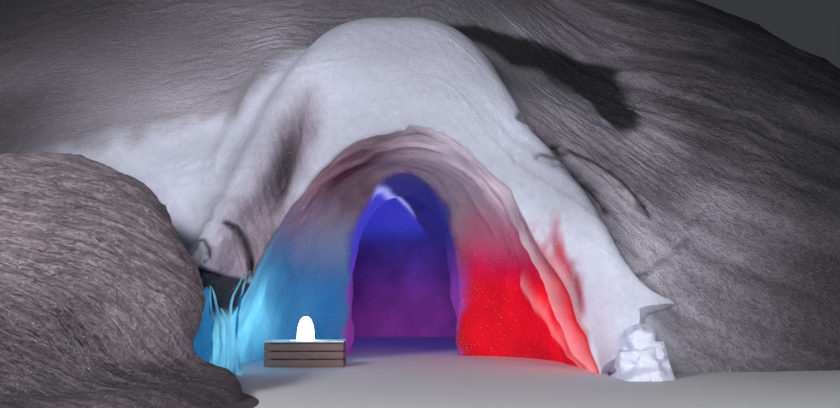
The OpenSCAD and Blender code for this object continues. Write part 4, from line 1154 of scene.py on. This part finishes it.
def boardMaterial():  # long fibres, grey stains, frost wherever the snowy field is 1
    material, net, shader, place = newMaterial("oldBoard")
    fibre = net.noise(net.scaled(place, (3, 40, 60)), 1.6, 6.0, 0.6)
    frost = net.group("grain", Vector=place, Scale=22.0, Pits=0.3)
    base = net.mixed(fibre, (0.075, 0.04, 0.035, 1), (0.24, 0.15, 0.13, 1))
    base = net.mixed(net.span(net.noise(place, 5.0, 4.0, 0.6), 0.45, 0.7), base, (0.16, 0.12, 0.13, 1))
    snowy = net.channels(net.field("snowy")["Color"])[0]
    cover = net.span(net.plus(snowy, net.math("SUBTRACT", frost["Tone"], 0.5)), 0.35, 0.6)
    net.put(shader["Base Color"], net.mixed(cover, base, (0.55, 0.80, 0.92, 1)))
    net.put(shader["Roughness"], net.span(fibre, atLow=0.85, atHigh=0.6))
    height = net.plus(net.times(fibre, 0.5), net.times(frost["Height"], cover))
    net.put(shader["Normal"], net.bumped(height, 0.004))
    return material


crateForm = {"board": 0.022, "edge": 0.004, "gap": 0.012, "slats": 3, "post": 0.05, "topBoards": 2,
             "topGap": 0.004, "stations": 12, "snowDeep": 0.012}


def boardGrid(low, high, axis):
    # rounded rectangle across, carried along one axis, drawn in at both ends
    low, high, edge, n = np.array(low, float), np.array(high, float), crateForm["edge"], crateForm["stations"]
    along = np.array([0, 0.002, 0.006, *np.linspace(0.03, 0.97, n), 0.994, 0.998, 1.0])
    shrink = np.array([1.0, 0.4, 0, *([0] * n), 0, 0.4, 1.0]) * edge
    across = [k for k in range(3) if k != axis]
    half = (high - low)[across] / 2
    a = np.linspace(0, 2 * np.pi, 33)[:-1] + np.pi / 32
    way = vec(np.cos(a), np.sin(a))
    ring = (np.sign(way) * (half - edge) + edge * way) * (1 - shrink[:, None, None] / half)
    p = np.zeros(ring.shape[:2] + (3,))
    p[..., axis] = (low[axis] + along * (high[axis] - low[axis]))[:, None]
    p[..., across] = ring + (low + high)[across] / 2
    return p


def makeCrate():
    # three slats on each side, six posts inside, two boards on top and one below, all within the solid's box
    c = SimpleNamespace(**crateForm)
    (x0, y0, z0), (x1, y1, z1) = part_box("crate")
    xa, ya, za, xb, yb, zb = (*(v + c.board for v in (x0, y0, z0)), *(v - c.board for v in (x1, y1, z1)))
    boards = []
    step = (zb - z0) / c.slats
    for n in range(c.slats):
        a, b = z0 + n * step + c.gap / 2, z0 + (n + 1) * step - c.gap / 2
        boards += [((x0, y0, a), (x1, ya, b), 0), ((x0, yb, a), (x1, y1, b), 0),
                   ((x0, ya, a), (xa, yb, b), 1), ((xb, ya, a), (x1, yb, b), 1)]
    for px in (xa, (x0 + x1 - c.post) / 2, xb - c.post):
        for py in (ya, yb - c.post):
            boards.append(((px, py, z0), (px + c.post, py + c.post, zb), 2))
    wide = (y1 - y0) / c.topBoards
    for n in range(c.topBoards):
        a, b = y0 + n * wide + c.topGap / 2, y0 + (n + 1) * wide - c.topGap / 2
        boards.append(((x0, a, zb), (x1, b, z1), 0))
    boards.append(((xa, ya, z0), (xb, yb, za), 0))
    turned = [number for number, board in enumerate(boards) if board[2] == 1]
    points, quads = joinBars([boardGrid(*board) for board in boards], turned)
    snowy = ease((points[:, 2] - z1 + c.snowDeep) / 0.01)
    piece = makeMesh("crateBoards", points, quads, 40, {"snowy": vec(snowy, snowy, snowy)})
    finishPiece(piece, boardMaterial(), ("crate",))


makeCrate()

lampForm = {"shine": 7.0, "round": 64, "wall": 0.955, "rise": 0.03,
            "foot": ((0, 0), (0.97, 0), (1, 0.003), (1, 0.014), (0.985, 0.018), (0.93, 0.019), (0.93, 0.021),
                     (0.955, 0.024))}  # foot and groove: share of the radius, height in metres


def lampMaterial():  # glowing glass, a little bluer towards the top, with a fine frost
    material, net, shader, place = newMaterial("lampGlass")
    frost = net.group("grain", Vector=place, Scale=60.0, Pits=0.2)
    fade = net.span(net.add("ShaderNodeSeparateXYZ", {0: place})["Z"], 0.28, 0.5)
    body = net.mixed(fade, (1.0, 1.0, 1.0, 1), (0.72, 0.93, 1.0, 1))
    net.put(shader["Emission Color"], net.mixed(net.times(frost["Tone"], 0.25), body, (0.6, 0.85, 1, 1)))
    net.put(shader["Emission Strength"], lampForm["shine"])
    net.put(shader["Base Color"], net.mixed(frost["Tone"], (0.8, 0.85, 0.88, 1), (0.95, 0.97, 1, 1)))
    net.put(shader["Roughness"], 0.35)
    net.put(shader["Normal"], net.bumped(frost["Height"], 0.001))
    return material


def makeLamp():
    # dome turned about its axis: foot ring, short groove, straight wall, quarter-round top
    c = SimpleNamespace(**lampForm)
    low, high = (np.array(v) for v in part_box("lamp"))
    centre, r, top = (low + high) / 2, (high[0] - low[0]) / 2, high[2] - low[2]
    quarter = np.linspace(0, np.pi / 2, 24)[:-1]
    foot = [(r * share, z) for share, z in c.foot]
    dome = [(r * c.wall * math.cos(v) ** 0.8, c.rise + (top - c.rise) * math.sin(v)) for v in quarter]
    profile = np.array([*foot, *dome, (0, top)])
    a = np.linspace(0, 2 * np.pi, c.round + 1)[:-1]
    p = vec(centre[0] + profile[:, :1] * np.cos(a), centre[1] + profile[:, :1] * np.sin(a),
            low[2] + profile[:, 1:])
    piece = makeMesh("lampDome", p.reshape(-1, 3), ringFaces(len(profile), c.round), 40)
    finishPiece(piece, lampMaterial(), ("lamp",))


makeLamp()

stageForm = {
    "floorSize": 60.0, "floorColour": (0.62, 0.62, 0.65, 1), "floorRough": 0.9,
    "skyColour": (0.62, 0.66, 0.74, 1), "skyPower": 0.06,
    "cameraPlace": (0.15, -13.3, 0.85), "cameraPitch": 4.6, "cameraLens": 43.3,
    "lights": {  # place, aim, size, power
        "keyLight": ((-5.2, -11.8, 5.2), (0.0, -2.5, 1.8), 1.4, 560.0),
        "lowLight": ((-0.6, -12.9, 1.1), (0.4, -2.5, 1.9), 1.2, 310.0),
        "fillLight": ((4.6, -10.8, 1.5), (2.2, -2.5, 1.5), 2.4, 220.0),
        "backLight": ((-3.0, 15.5, 6.0), (0.0, 4.0, 2.0), 5.0, 1300.0)},
}


def addThing(name, data):
    thing = bpy.data.objects.new(name, data)
    bpy.context.collection.objects.link(thing)
    return thing


def makeStage():
    s = SimpleNamespace(**stageForm)
    half = s.floorSize / 2
    corners = np.array([[-half, -half, 0], [half, -half, 0], [half, half, 0], [-half, half, 0]])
    floor = makeMesh("floor", corners, np.array([[0, 1, 2, 3]]))
    material, net, shader = newMaterial("paleFloor")[:3]
    net.put(shader["Base Color"], s.floorColour)
    net.put(shader["Roughness"], s.floorRough)
    floor.data.materials.append(material)
    world = bpy.data.worlds.new("studio")
    bpy.context.scene.world = world
    world.use_nodes = True
    sky = world.node_tree.nodes["Background"].inputs
    sky["Color"].default_value, sky["Strength"].default_value = s.skyColour, s.skyPower
    for name, (at, aim, size, power) in s.lights.items():
        lamp = bpy.data.lights.new(name, "AREA")
        lamp.shape, lamp.size, lamp.energy = "DISK", size, power
        x, y, z = np.array(aim) - np.array(at)
        light = addThing(name, lamp)
        light.location = at
        light.rotation_euler = (math.atan2(math.hypot(x, y), -z), 0, math.atan2(x, -y) + math.pi)
    bpy.context.scene.view_settings.view_transform = "Standard"  # keeps the coloured light pure
    camera = addThing("photoView", bpy.data.cameras.new("photoView"))
    camera.data.sensor_width = 36
    camera.data.lens = s.cameraLens
    camera.location = s.cameraPlace
    camera.rotation_euler = (math.radians(90 + s.cameraPitch), 0, 0)
    bpy.context.scene.camera = camera


makeStage()
print("igloo: stage ready")
